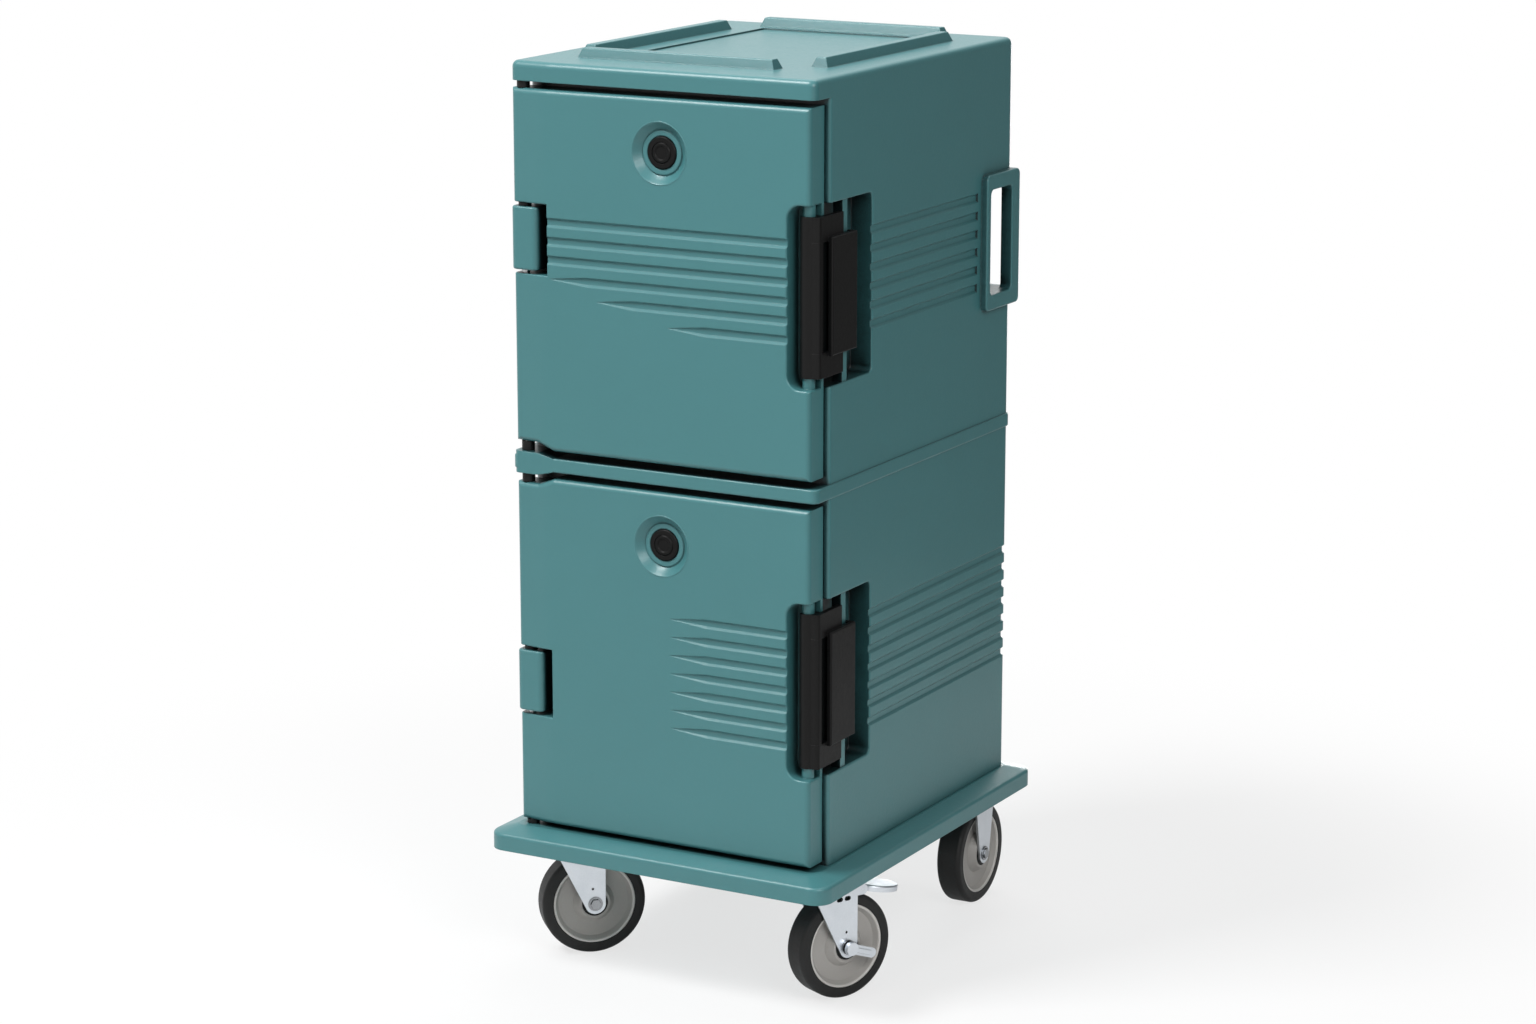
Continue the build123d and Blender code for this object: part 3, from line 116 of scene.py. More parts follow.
class NodeGraph:
    """Places shader nodes in one tree and joins their sockets."""

    NODE_SPACING = 180.0
    MIX_COLOUR_FIRST = 6
    MIX_COLOUR_SECOND = 7
    MIX_COLOUR_RESULT = 2

    def __init__(self, tree: bpy.types.NodeTree) -> None:
        """Keep the tree that nodes go into."""
        self.tree = tree
        self.column = 0

    @classmethod
    def start(cls, holder: bpy.types.Material | bpy.types.World) -> "NodeGraph":
        """Empty the node tree of a material or a sky.

        Args:
            holder: Material or world that owns the tree.

        Returns:
            A graph on the empty tree.
        """
        holder.use_nodes = True
        holder.node_tree.nodes.clear()
        return cls(holder.node_tree)

    def add(self, kind: str, **values: object) -> bpy.types.Node:
        """Add a node and set its inputs.

        Args:
            kind: Type name of the node.
            **values: Input values, with spaces in socket names written as underscores.

        Returns:
            The new node.
        """
        node = self.tree.nodes.new(kind)
        node.location = (self.column * self.NODE_SPACING, 0.0)
        self.column += 1
        self.fill(node, values)
        return node

    def fill(self, node: bpy.types.Node, values: dict[str, object]) -> None:
        """Set a node's inputs by their names, with underscores for spaces."""
        for key, value in values.items():
            node.inputs[key.replace("_", " ")].default_value = value

    def join(self, source: object, target: bpy.types.NodeSocket) -> None:
        """Link an output socket to an input socket, or write a plain value there.

        Args:
            source: Output socket or value.
            target: Input socket.
        """
        if isinstance(source, bpy.types.NodeSocket):
            self.tree.links.new(source, target)
        else:
            target.default_value = source

    def math(self, operation: str, first: object, second: object) -> bpy.types.NodeSocket:
        """Add a math node on two sockets or numbers.

        Args:
            operation: Name of the operation.
            first: Socket or number.
            second: Socket or number.

        Returns:
            The result's socket.
        """
        node = self.add("ShaderNodeMath")
        node.operation = operation
        self.join(first, node.inputs[0])
        self.join(second, node.inputs[1])
        return node.outputs[0]

    def vector_math(self, operation: str, *vectors: object) -> bpy.types.Node:
        """Add a vector math node.

        Args:
            operation: Name of the operation.
            *vectors: Sockets or vectors, in the order of the node's inputs.

        Returns:
            The new node.
        """
        node = self.add("ShaderNodeVectorMath")
        node.operation = operation
        for index, vector in enumerate(vectors):
            self.join(vector, node.inputs[index])
        return node

    def mix_colours(
        self, mask: bpy.types.NodeSocket, first: object, second: object
    ) -> bpy.types.NodeSocket:
        """Blend two colours by a mask.

        Args:
            mask: Socket from 0 to 1.
            first: Socket or colour where the mask is 0.
            second: Socket or colour where the mask is 1.

        Returns:
            The blend's socket.
        """
        node = self.add("ShaderNodeMix")
        node.data_type = "RGBA"
        self.join(mask, node.inputs["Factor"])
        self.join(first, node.inputs[self.MIX_COLOUR_FIRST])
        self.join(second, node.inputs[self.MIX_COLOUR_SECOND])
        return node.outputs[self.MIX_COLOUR_RESULT]

    def mix_shaders(
        self, mask: bpy.types.NodeSocket, first: bpy.types.Node, second: bpy.types.Node
    ) -> bpy.types.NodeSocket:
        """Blend two shaders by a mask.

        Args:
            mask: Socket from 0 to 1.
            first: Shader where the mask is 0.
            second: Shader where the mask is 1.

        Returns:
            The blend's socket.
        """
        node = self.add("ShaderNodeMixShader")
        self.join(mask, node.inputs["Fac"])
        self.join(first.outputs[0], node.inputs[1])
        self.join(second.outputs[0], node.inputs[2])
        return node.outputs[0]

    def fade(
        self,
        value: bpy.types.NodeSocket,
        edges: tuple[float, float],
        levels: tuple[float, float],
    ) -> bpy.types.NodeSocket:
        """Go softly from one level to another while a value crosses a range.

        Args:
            value: Socket that crosses the range.
            edges: Ends of the range.
            levels: Results at those ends.

        Returns:
            The result's socket.
        """
        node = self.add(
            "ShaderNodeMapRange",
            From_Min=edges[0],
            From_Max=edges[1],
            To_Min=levels[0],
            To_Max=levels[1],
        )
        node.interpolation_type = "SMOOTHSTEP"
        self.join(value, node.inputs["Value"])
        return node.outputs["Result"]


class EffectLibrary:
    """Builds each shared node group once."""

    PATCH_SHARE = 0.7
    FLECK_SHARE = 0.3
    RELIEF_SHARES = {"Waves": 0.62, "Peel": 0.26, "Grain": 0.12}
    # Near-black teal that the painted shade darkens towards, and the noise that makes the painted shade
    # patchy.
    PAINTED_SHADE_COLOUR: Colour = (0.002, 0.006, 0.007)
    SHADE_NOISE_SCALE = 36.0
    SHADE_NOISE_LEAST = 0.85
    SHADE_NOISE_SWING = 0.3
    HOLLOW_POWER = 2.0
    HOLLOW_SAMPLES = 8

    def __init__(self) -> None:
        """Make all the groups."""
        self.groups = {
            Effect.MOTTLE: self._mottle(),
            Effect.GRAIN: self._grain(),
            Effect.BRUSH: self._brush(),
            Effect.HOLLOW: self._hollow(),
        }

    def place(self, graph: NodeGraph, effect: Effect, **values: object) -> bpy.types.Node:
        """Place a group in a material, on the piece's own coordinates.

        Args:
            graph: Material's node graph.
            effect: Group to place.
            **values: Values of the group's inputs.

        Returns:
            The group's node.
        """
        spot = graph.add("ShaderNodeTexCoord")
        node = graph.add("ShaderNodeGroup")
        node.node_tree = self.groups[effect]
        graph.fill(node, values)
        graph.join(spot.outputs["Object"], node.inputs["Place"])
        return node

    @staticmethod
    def _start(
        effect: Effect, inputs: dict[str, str], outputs: dict[str, str]
    ) -> tuple[NodeGraph, bpy.types.Node, bpy.types.Node]:
        """Make an empty group with its sockets.

        Args:
            effect: Group's name.
            inputs: Socket type by input name.
            outputs: Socket type by output name.

        Returns:
            The graph, its input node and its output node.
        """
        tree = bpy.data.node_groups.new(effect.value, "ShaderNodeTree")
        for name, kind in inputs.items():
            tree.interface.new_socket(name=name, in_out="INPUT", socket_type=kind)
        for name, kind in outputs.items():
            tree.interface.new_socket(name=name, in_out="OUTPUT", socket_type=kind)
        graph = NodeGraph(tree)
        return graph, graph.add("NodeGroupInput"), graph.add("NodeGroupOutput")

    def _mottle(self) -> bpy.types.NodeTree:
        """Build the slow drift between a darker and a lighter tone, with fine flecks.

        Returns:
            The group's tree.
        """
        graph, source, sink = self._start(
            Effect.MOTTLE,
            {
                "Place": "NodeSocketVector",
                "Dark": "NodeSocketColor",
                "Light": "NodeSocketColor",
                "Patches": "NodeSocketFloat",
                "Flecks": "NodeSocketFloat",
            },
            {"Colour": "NodeSocketColor"},
        )
        patches = graph.add("ShaderNodeTexNoise", Detail=3.0, Roughness=0.55)
        flecks = graph.add("ShaderNodeTexNoise", Detail=2.0, Roughness=0.7)
        for noise, scale in ((patches, "Patches"), (flecks, "Flecks")):
            graph.join(source.outputs["Place"], noise.inputs["Vector"])
            graph.join(source.outputs[scale], noise.inputs["Scale"])
        slow = graph.math("MULTIPLY", patches.outputs["Fac"], self.PATCH_SHARE)
        fine = graph.math("MULTIPLY", flecks.outputs["Fac"], self.FLECK_SHARE)
        mask = graph.math("ADD", slow, fine)
        colour = graph.mix_colours(mask, source.outputs["Dark"], source.outputs["Light"])
        graph.join(colour, sink.inputs["Colour"])
        return graph.tree

    def _grain(self) -> bpy.types.NodeTree:
        """Build the height of a moulded skin: long waves, orange peel and fine grain.

        Returns:
            The group's tree.
        """
        graph, source, sink = self._start(
            Effect.GRAIN,
            {
                "Place": "NodeSocketVector",
                "Waves": "NodeSocketFloat",
                "Peel": "NodeSocketFloat",
                "Grain": "NodeSocketFloat",
            },
            {"Height": "NodeSocketFloat", "Gloss": "NodeSocketFloat"},
        )
        total = 0.0
        for name, share in self.RELIEF_SHARES.items():
            noise = graph.add("ShaderNodeTexNoise", Detail=2.0, Roughness=0.5)
            graph.join(source.outputs["Place"], noise.inputs["Vector"])
            graph.join(source.outputs[name], noise.inputs["Scale"])
            layer = graph.math("MULTIPLY", noise.outputs["Fac"], share)
            total = graph.math("ADD", layer, total)
            if name == "Peel":
                graph.join(noise.outputs["Fac"], sink.inputs["Gloss"])
        graph.join(total, sink.inputs["Height"])
        return graph.tree

    def _brush(self) -> bpy.types.NodeTree:
        """Build fine lines drawn out along one direction of a metal surface.

        Returns:
            The group's tree.
        """
        graph, source, sink = self._start(
            Effect.BRUSH,
            {
                "Place": "NodeSocketVector",
                "Stretch": "NodeSocketVector",
                "Lines": "NodeSocketFloat",
            },
            {"Mask": "NodeSocketFloat"},
        )
        stretch = graph.vector_math("MULTIPLY", source.outputs["Place"], source.outputs["Stretch"])
        lines = graph.add("ShaderNodeTexNoise", Detail=4.0, Roughness=0.6)
        graph.join(stretch.outputs["Vector"], lines.inputs["Vector"])
        graph.join(source.outputs["Lines"], lines.inputs["Scale"])
        graph.join(lines.outputs["Fac"], sink.inputs["Mask"])
        return graph.tree

    def _hollow(self) -> bpy.types.NodeTree:
        """Build a colour darkened by painted shade in gaps, grooves and pockets, patchy across the
        surface.

        Returns:
            The group's tree.
        """
        graph, source, sink = self._start(
            Effect.HOLLOW,
            {
                "Place": "NodeSocketVector",
                "Colour": "NodeSocketColor",
                "Reach": "NodeSocketFloat",
                "Depth": "NodeSocketFloat",
            },
            {"Colour": "NodeSocketColor"},
        )
        # Painted shade: where ambient occlusion finds the surface hidden, the base colour is darkened
        # towards near-black teal.
        edge = graph.add("ShaderNodeAmbientOcclusion")
        edge.samples = self.HOLLOW_SAMPLES
        graph.join(source.outputs["Reach"], edge.inputs["Distance"])
        shade_noise = graph.add("ShaderNodeTexNoise", Scale=self.SHADE_NOISE_SCALE, Detail=3.0, Roughness=0.6)
        graph.join(source.outputs["Place"], shade_noise.inputs["Vector"])
        swing = graph.math("MULTIPLY", shade_noise.outputs["Fac"], self.SHADE_NOISE_SWING)
        uneven = graph.math("ADD", swing, self.SHADE_NOISE_LEAST)
        hidden = graph.math("SUBTRACT", 1.0, edge.outputs["AO"])
        occluded = graph.math("MULTIPLY", graph.math("POWER", hidden, self.HOLLOW_POWER), uneven)
        shade = graph.math("MULTIPLY", occluded, source.outputs["Depth"])
        colour = graph.mix_colours(shade, source.outputs["Colour"], opaque(self.PAINTED_SHADE_COLOUR))
        graph.join(colour, sink.inputs["Colour"])
        return graph.tree


@dataclass(frozen=True)
class Finish:
    """What every finish has: two tones that it drifts between, a gloss and a shade in its hollows.

    Patches and flecks are noise scales, and the hollows' reach is in metres.
    """

    name: str
    dark: Colour
    light: Colour
    roughness: float
    roughness_spread: float
    sheen_level: float = 0.3
    patches: float = 3.0
    flecks: float = 420.0
    hollow_reach: float = 0.03
    hollow_depth: float = 0.6

    MASK_MIDDLE = 0.5

    def make(self, effects: EffectLibrary) -> bpy.types.Material:
        """Build the material.

        Args:
            effects: Shared node groups.

        Returns:
            The finished material.
        """
        material = bpy.data.materials.new(self.name)
        graph = NodeGraph.start(material)
        sink = graph.add("ShaderNodeOutputMaterial")
        shader = graph.add("ShaderNodeBsdfPrincipled", Specular_IOR_Level=self.sheen_level)
        graph.join(shader.outputs["BSDF"], sink.inputs["Surface"])
        mottle = effects.place(
            graph,
            Effect.MOTTLE,
            Dark=opaque(self.dark),
            Light=opaque(self.light),
            Patches=self.patches,
            Flecks=self.flecks,
        )
        # Painted shade in the hollows darkens the mottled base colour.
        hollow = effects.place(
            graph, Effect.HOLLOW, Reach=self.hollow_reach, Depth=self.hollow_depth
        )
        graph.join(mottle.outputs["Colour"], hollow.inputs["Colour"])
        graph.join(hollow.outputs["Colour"], shader.inputs["Base Color"])
        self.shape(graph, shader, effects)
        return material

    def shape(self, graph: NodeGraph, shader: bpy.types.Node, effects: EffectLibrary) -> None:
        """Add gloss and relief, which each kind of finish does in its own way."""
        raise NotImplementedError

    def spread_roughness(
        self, graph: NodeGraph, shader: bpy.types.Node, mask: bpy.types.NodeSocket
    ) -> None:
        """Let the roughness drift about its middle value with a mask.

        Args:
            graph: Material's node graph.
            shader: Principled shader.
            mask: Socket from 0 to 1.
        """
        centred = graph.math("SUBTRACT", mask, self.MASK_MIDDLE)
        swing = graph.math("MULTIPLY", centred, self.roughness_spread)
        level = graph.math("ADD", swing, self.roughness)
        graph.join(level, shader.inputs["Roughness"])


@dataclass(frozen=True)
class MouldedFinish(Finish):
    """Plastic or rubber out of a mould, with its skin's relief and softened edges.

    Waves, peel and grain are noise scales, and the relief and the edges' rounding are in metres.
    """

    waves: float = 14.0
    peel: float = 160.0
    grain: float = 1300.0
    relief: float = 0.0006
    edge_round: float = 0.0014

    EDGE_SAMPLES = 4

    def shape(self, graph: NodeGraph, shader: bpy.types.Node, effects: EffectLibrary) -> None:
        """Add the skin's relief, its soft edges and its uneven gloss.

        Args:
            graph: Material's node graph.
            shader: Principled shader.
            effects: Shared node groups.
        """
        skin = effects.place(
            graph, Effect.GRAIN, Waves=self.waves, Peel=self.peel, Grain=self.grain
        )
        self.spread_roughness(graph, shader, skin.outputs["Gloss"])
        edge = graph.add("ShaderNodeBevel", Radius=self.edge_round)
        edge.samples = self.EDGE_SAMPLES
        bump = graph.add("ShaderNodeBump", Strength=1.0, Distance=self.relief)
        graph.join(edge.outputs["Normal"], bump.inputs["Normal"])
        graph.join(skin.outputs["Height"], bump.inputs["Height"])
        graph.join(bump.outputs["Normal"], shader.inputs["Normal"])


@dataclass(frozen=True)
class MetalFinish(Finish):
    """Plated or turned steel with fine lines along one direction."""

    stretch: Point = (1.0, 1.0, 0.08)
    lines: float = 900.0
    relief: float = 0.00004

    def shape(self, graph: NodeGraph, shader: bpy.types.Node, effects: EffectLibrary) -> None:
        """Add the metal's gloss and its drawn lines.

        Args:
            graph: Material's node graph.
            shader: Principled shader.
            effects: Shared node groups.
        """
        shader.inputs["Metallic"].default_value = 1.0
        lines = effects.place(graph, Effect.BRUSH, Stretch=self.stretch, Lines=self.lines)
        self.spread_roughness(graph, shader, lines.outputs["Mask"])
        bump = graph.add("ShaderNodeBump", Strength=1.0, Distance=self.relief)
        graph.join(lines.outputs["Mask"], bump.inputs["Height"])
        graph.join(bump.outputs["Normal"], shader.inputs["Normal"])


FINISHES: dict[Slot, Finish] = {
    Slot.BODY: MouldedFinish(
        name="teal_moulded_skin",
        dark=TEAL_DARK,
        light=TEAL_LIGHT,
        roughness=0.34,
        roughness_spread=0.10,
        sheen_level=0.5,
        hollow_reach=0.05,
        hollow_depth=0.9,
        edge_round=0.002,
    ),
    Slot.LINER: MouldedFinish(
        name="teal_liner",
        dark=(0.064, 0.206, 0.219),
        light=(0.076, 0.236, 0.251),
        roughness=0.34,
        roughness_spread=0.08,
        sheen_level=0.5,
    ),
    Slot.FOAM: MouldedFinish(
        name="pale_foam",
        dark=(0.58, 0.45, 0.20),
        light=(0.78, 0.66, 0.38),
        roughness=0.85,
        roughness_spread=0.08,
        peel=420.0,
        relief=0.002,
    ),
    Slot.SEAL: MouldedFinish(
        name="seal_rubber_skin",
        dark=grey(0.010),
        light=grey(0.018),
        roughness=0.62,
        roughness_spread=0.10,
        sheen_level=0.2,
    ),
    Slot.LATCH: MouldedFinish(
        name="black_nylon",
        dark=grey(0.003),
        light=grey(0.006),
        roughness=0.44,
        roughness_spread=0.10,
        sheen_level=0.18,
        grain=1800.0,
    ),
    Slot.VENT: MouldedFinish(
        name="black_vent_plastic",
        dark=grey(0.004),
        light=grey(0.008),
        roughness=0.42,
        roughness_spread=0.10,
        sheen_level=0.12,
    ),
    Slot.PIN: MetalFinish(
        name="turned_steel",
        dark=(0.50, 0.51, 0.52),
        light=(0.62, 0.63, 0.64),
        roughness=0.26,
        roughness_spread=0.16,
    ),
    Slot.ZINC: MetalFinish(
        name="zinc_plate",
        dark=(0.50, 0.54, 0.58),
        light=(0.80, 0.83, 0.87),
        roughness=0.32,
        roughness_spread=0.20,
        patches=18.0,
        # Painted shade in the forks' creases and round the bolt heads.
        hollow_reach=0.012,
        hollow_depth=1.6,
    ),
    Slot.NYLON: MouldedFinish(
        name="bearing_nylon_skin",
        dark=grey(0.006),
        light=grey(0.012),
        roughness=0.42,
        roughness_spread=0.08,
        sheen_level=0.2,
    ),
    Slot.BUSH: MouldedFinish(
        name="black_bush_nylon",
        dark=grey(0.006),
        light=grey(0.012),
        roughness=0.45,
        roughness_spread=0.10,
        sheen_level=0.2,
    ),
    Slot.TYRE: MouldedFinish(
        name="tyre_rubber_skin",
        dark=grey(0.014),
        light=grey(0.024),
        roughness=0.52,
        roughness_spread=0.14,
        sheen_level=0.24,
    ),
    Slot.CORE: MouldedFinish(
        name="grey_wheel_core",
        dark=(0.385, 0.368, 0.348),
        light=(0.470, 0.452, 0.430),
        roughness=0.46,
        roughness_spread=0.10,
        hollow_depth=0.15,
    ),
}

# The outer shell's finish: the body's teal with a deeper, wider painted shade in its recesses, gaps and
# pockets.
DEEP_SHADE_CASING_FINISH = replace(
    FINISHES[Slot.BODY], name="teal_casing_deep_painted_shade", hollow_reach=0.10, hollow_depth=2.6
)
BOLT_FINISH = MetalFinish(
    name="dark_bolt_steel",
    dark=(0.20, 0.21, 0.22),
    light=(0.42, 0.43, 0.45),
    roughness=0.24,
    roughness_spread=0.16,
    patches=60.0,
    # Strong painted shade in the creases round the bolt heads.
    hollow_reach=0.01,
    hollow_depth=1.8,
)
# Paler than the wheel core: a painted highlight along the rolled rim bead.
PAINTED_HIGHLIGHT_BEAD_FINISH = MouldedFinish(
    name="rim_bead_painted_highlight",
    dark=(0.62, 0.60, 0.57),
    light=(0.72, 0.70, 0.67),
    roughness=0.34,
    roughness_spread=0.10,
    sheen_level=0.5,
    hollow_depth=0.1,
)
NODE_FINISHES: dict[str, Finish] = {
    "outer_shell": DEEP_SHADE_CASING_FINISH,
    **{f"{wheel}_axle": BOLT_FINISH for wheel in WHEELS},
}


@dataclass
class Wardrobe:
    """Makes each finish once and puts it on the pieces."""

    frame: dict
    effects: EffectLibrary = field(default_factory=EffectLibrary)
    materials: dict[Finish, bpy.types.Material] = field(default_factory=dict)

    def dress(self, piece: bpy.types.Object, finish: Finish) -> None:
        """Give a piece one finish all over.

        Args:
            piece: Piece to dress.
            finish: Its finish, whose material is built at its first use.
        """
        if finish not in self.materials:
            self.materials[finish] = finish.make(self.effects)
        piece.data.materials.clear()
        piece.data.materials.append(self.materials[finish])
        LOG.info("dressed %s in %s", piece.name, finish.name)

    def dress_frame(self) -> None:
        """Give each CAD node its own finish, or else the finish of its slot."""
        for row in self.frame["record"]["subparts"]:
            name = row["node"]
            finish = NODE_FINISHES.get(name, FINISHES[Slot(row["material_slot"])])
            self.dress(self.frame["nodes"][name], finish)

    def fit(self, piece: bpy.types.Object, body: str, finish: Finish) -> None:
        """Dress a new piece and let it ride on a body.

        Args:
            piece: Finished piece.
            body: Body that carries it.
            finish: Its finish.
        """
        self.dress(piece, finish)
        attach(piece, body)
        LOG.info("fitted %s on %s", piece.name, body)


@dataclass(frozen=True)
class ProfileCorner:
    """Corner of a turned outline, in millimetres: its radius and height on the axis, and its rounding."""

    radius: float
    height: float
    rounding: float = 0.0

    def spot(self) -> Vector:
        """Place of the sharp corner."""
        return Vector((self.radius, self.height))

    def arc(self, before: "ProfileCorner", after: "ProfileCorner", steps: int) -> list[Vector]:
        """Round the corner between its neighbours.

        Args:
            before: Corner that the outline comes from.
            after: Corner that the outline goes to.
            steps: Chords of the arc.

        Returns:
            The arc's points, or the sharp corner where it has no rounding.
        """
        tip = self.spot()
        if not self.rounding:
            return [tip]
        back = (before.spot() - tip).normalized()
        ahead = (after.spot() - tip).normalized()
        half_angle = back.angle(ahead) / 2.0
        run = self.rounding / math.tan(half_angle)
        centre = tip + (back + ahead).normalized() * self.rounding / math.sin(half_angle)
        first = tip + back * run - centre
        last = tip + ahead * run - centre
        start = math.atan2(first.y, first.x)
        sweep = math.atan2(first.x * last.y - first.y * last.x, first.dot(last))
        angles = [start + sweep * step / steps for step in range(steps + 1)]
        return [
            centre + Vector((math.cos(angle), math.sin(angle))) * self.rounding
            for angle in angles
        ]


@dataclass
class TurnedRing:
    """Thin moulded ring, turned from a closed outline about an axis."""

    name: str
    centre: Vector
    axis: Vector
    profile: tuple[ProfileCorner, ...]
    arc_steps: int = 5
    segments: int = 96
    crease: float = 38.0
    merge_gap: float = 0.01

    def outline(self) -> list[Vector]:
        """Round the profile's corners.

        Returns:
            Points of the closed outline, as radius and height.
        """
        followers = self.profile[1:] + self.profile[:1]
        leaders = self.profile[-1:] + self.profile[:-1]
        points = []
        for before, corner, after in zip(leaders, self.profile, followers):
            points.extend(corner.arc(before, after, self.arc_steps))
        return points

    def build(self) -> bpy.types.Object:
        """Turn the ring, close its outline and set it in place.

        Returns:
            The finished ring.
        """
        points = self.outline()
        here = points[0]
        bpy.ops.object.select_all(action="DESELECT")
        bpy.ops.mesh.primitive_circle_add(
            vertices=self.segments, radius=here.x * MM, fill_type="NOTHING", location=ORIGIN
        )
        ring = bpy.context.object
        ring.name = self.name
        bpy.ops.object.mode_set(mode="EDIT")
        bpy.ops.mesh.select_all(action="SELECT")
        bpy.ops.transform.translate(value=(0.0, 0.0, here.y * MM))
        for there in points[1:] + points[:1]:
            step = (0.0, 0.0, (there.y - here.y) * MM)
            bpy.ops.mesh.extrude_edges_move(TRANSFORM_OT_translate={"value": step})
            share = there.x / here.x
            bpy.ops.transform.resize(value=(share, share, 1.0), center_override=ORIGIN)
            here = there
        bpy.ops.mesh.select_all(action="SELECT")
        bpy.ops.mesh.remove_doubles(threshold=self.merge_gap * MM)
        bpy.ops.mesh.normals_make_consistent(inside=False)
        bpy.ops.object.mode_set(mode="OBJECT")
        bpy.ops.object.shade_smooth_by_angle(angle=math.radians(self.crease))
        ring.rotation_euler = self.axis.to_track_quat("Z", "Y").to_euler()
        ring.location = self.centre
        bpy.ops.object.transform_apply(location=True, rotation=True, scale=True)
        return ring


@dataclass
class VentSurround:
    """Moulded ring in a door's vent dish: rolled rim, hollow wall and a collar round the vent.

    Heights are measured outwards from the door's front face.
    """

    door: str
    profile: tuple[ProfileCorner, ...] = (
        ProfileCorner(46.2, -0.6),
        ProfileCorner(45.9, 0.33, rounding=0.6),
        ProfileCorner(44.1, 0.33, rounding=2.2),
        ProfileCorner(38.0, -6.57, rounding=90.0),
        ProfileCorner(32.7, -11.43, rounding=0.69),
        ProfileCorner(31.4, -9.0, rounding=1.1),
        ProfileCorner(23.7, -9.0, rounding=1.55),
        ProfileCorner(23.6, -12.4),
        ProfileCorner(33.6, -12.6),
        ProfileCorner(45.4, -1.6),
    )

    def build(self, wardrobe: Wardrobe) -> None:
        """Set the ring in the dish, on the door.

        Args:
            wardrobe: Finishes.
        """
        low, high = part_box(f"{self.door}_vent_body")
        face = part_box(f"{self.door}_door_shell")[0].y
        centre = Vector(((low.x + high.x) / 2.0, face, (low.z + high.z) / 2.0))
        name = f"{self.door}_vent_surround"
        ring = TurnedRing(name, centre, Vector(FORWARDS), self.profile)
        wardrobe.fit(ring.build(), f"{self.door}_door", FINISHES[Slot.BODY])


@dataclass
class RimBead:
    """Rolled bead on both sides of a wheel's core, where the tyre meets it.

    Heights are measured outwards from the wheel's middle.
    """

    wheel: str
    axle: Vector
    profile: tuple[ProfileCorner, ...] = (
        ProfileCorner(63.4, 16.2),
        ProfileCorner(63.4, 19.4, rounding=1.1),
        ProfileCorner(59.4, 19.4, rounding=2.4),
        ProfileCorner(59.4, 16.2),
    )

    def build(self, wardrobe: Wardrobe) -> None:
        """Set a bead on each side of the wheel.

        Args:
            wardrobe: Finishes.
        """
        low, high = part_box(f"{self.wheel}_wheel_core")
        for side, axis in (("outer", self.axle), ("inner", -self.axle)):
            name = f"{self.wheel}_rim_bead_{side}"
            ring = TurnedRing(name, (low + high) / 2.0, axis, self.profile)
            wardrobe.fit(ring.build(), f"{self.wheel}_wheel", PAINTED_HIGHLIGHT_BEAD_FINISH)


@dataclass
class LatchTrim:
    """Upright block between the two arms of a latch, in its black nylon.

    Inner and outer are millimetres outwards from the door's free edge, and front and back are
    millimetres behind the door's front face. The lap is how far the block runs into the arms.
    """

    door: str
    inner: float
    outer: float
    front: float
    back: float
    lap: float
    arm_height: float = 36.0
    crease: float = 30.0

    PIECE = "latch_trim"

    def build(self, wardrobe: Wardrobe) -> None:
        """Start the block, form it and hang it on the latch.

        Args:
            wardrobe: Finishes.
        """
        low, high = self.span()
        bpy.ops.object.select_all(action="DESELECT")
        bpy.ops.mesh.primitive_cube_add(size=1.0, location=ORIGIN)
        block = bpy.context.object
        block.name = f"{self.door}_{self.PIECE}"
        bpy.ops.object.mode_set(mode="EDIT")
        bpy.ops.mesh.select_all(action="SELECT")
        bpy.ops.transform.resize(value=high - low, center_override=ORIGIN)
        bpy.ops.transform.translate(value=(low + high) / 2.0)
        self.form(block)
        bpy.ops.mesh.select_all(action="SELECT")
        bpy.ops.mesh.normals_make_consistent(inside=False)
        bpy.ops.object.mode_set(mode="OBJECT")
        bpy.ops.object.shade_smooth_by_angle(angle=math.radians(self.crease))
        wardrobe.fit(block, f"{self.door}_pull", FINISHES[Slot.LATCH])

    def span(self) -> tuple[Vector, Vector]:
        """Work out the block's corners from the door and the latch.

        Returns:
            The lowest and the highest corner, in metres.
        """
        door_low, door_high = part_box(f"{self.door}_door_shell")
        latch_low, latch_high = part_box(f"{self.door}_latch")
        edge = door_high.x
        face = door_low.y
        inset = (self.arm_height - self.lap) * MM
        low = Vector((edge + self.inner * MM, face + self.front * MM, latch_low.z + inset))
        high = Vector((edge + self.outer * MM, face + self.back * MM, latch_high.z - inset))
        return low, high

    def form(self, block: bpy.types.Object) -> None:
        """Shape the block in edit mode, which each trim does in its own way."""
        raise NotImplementedError


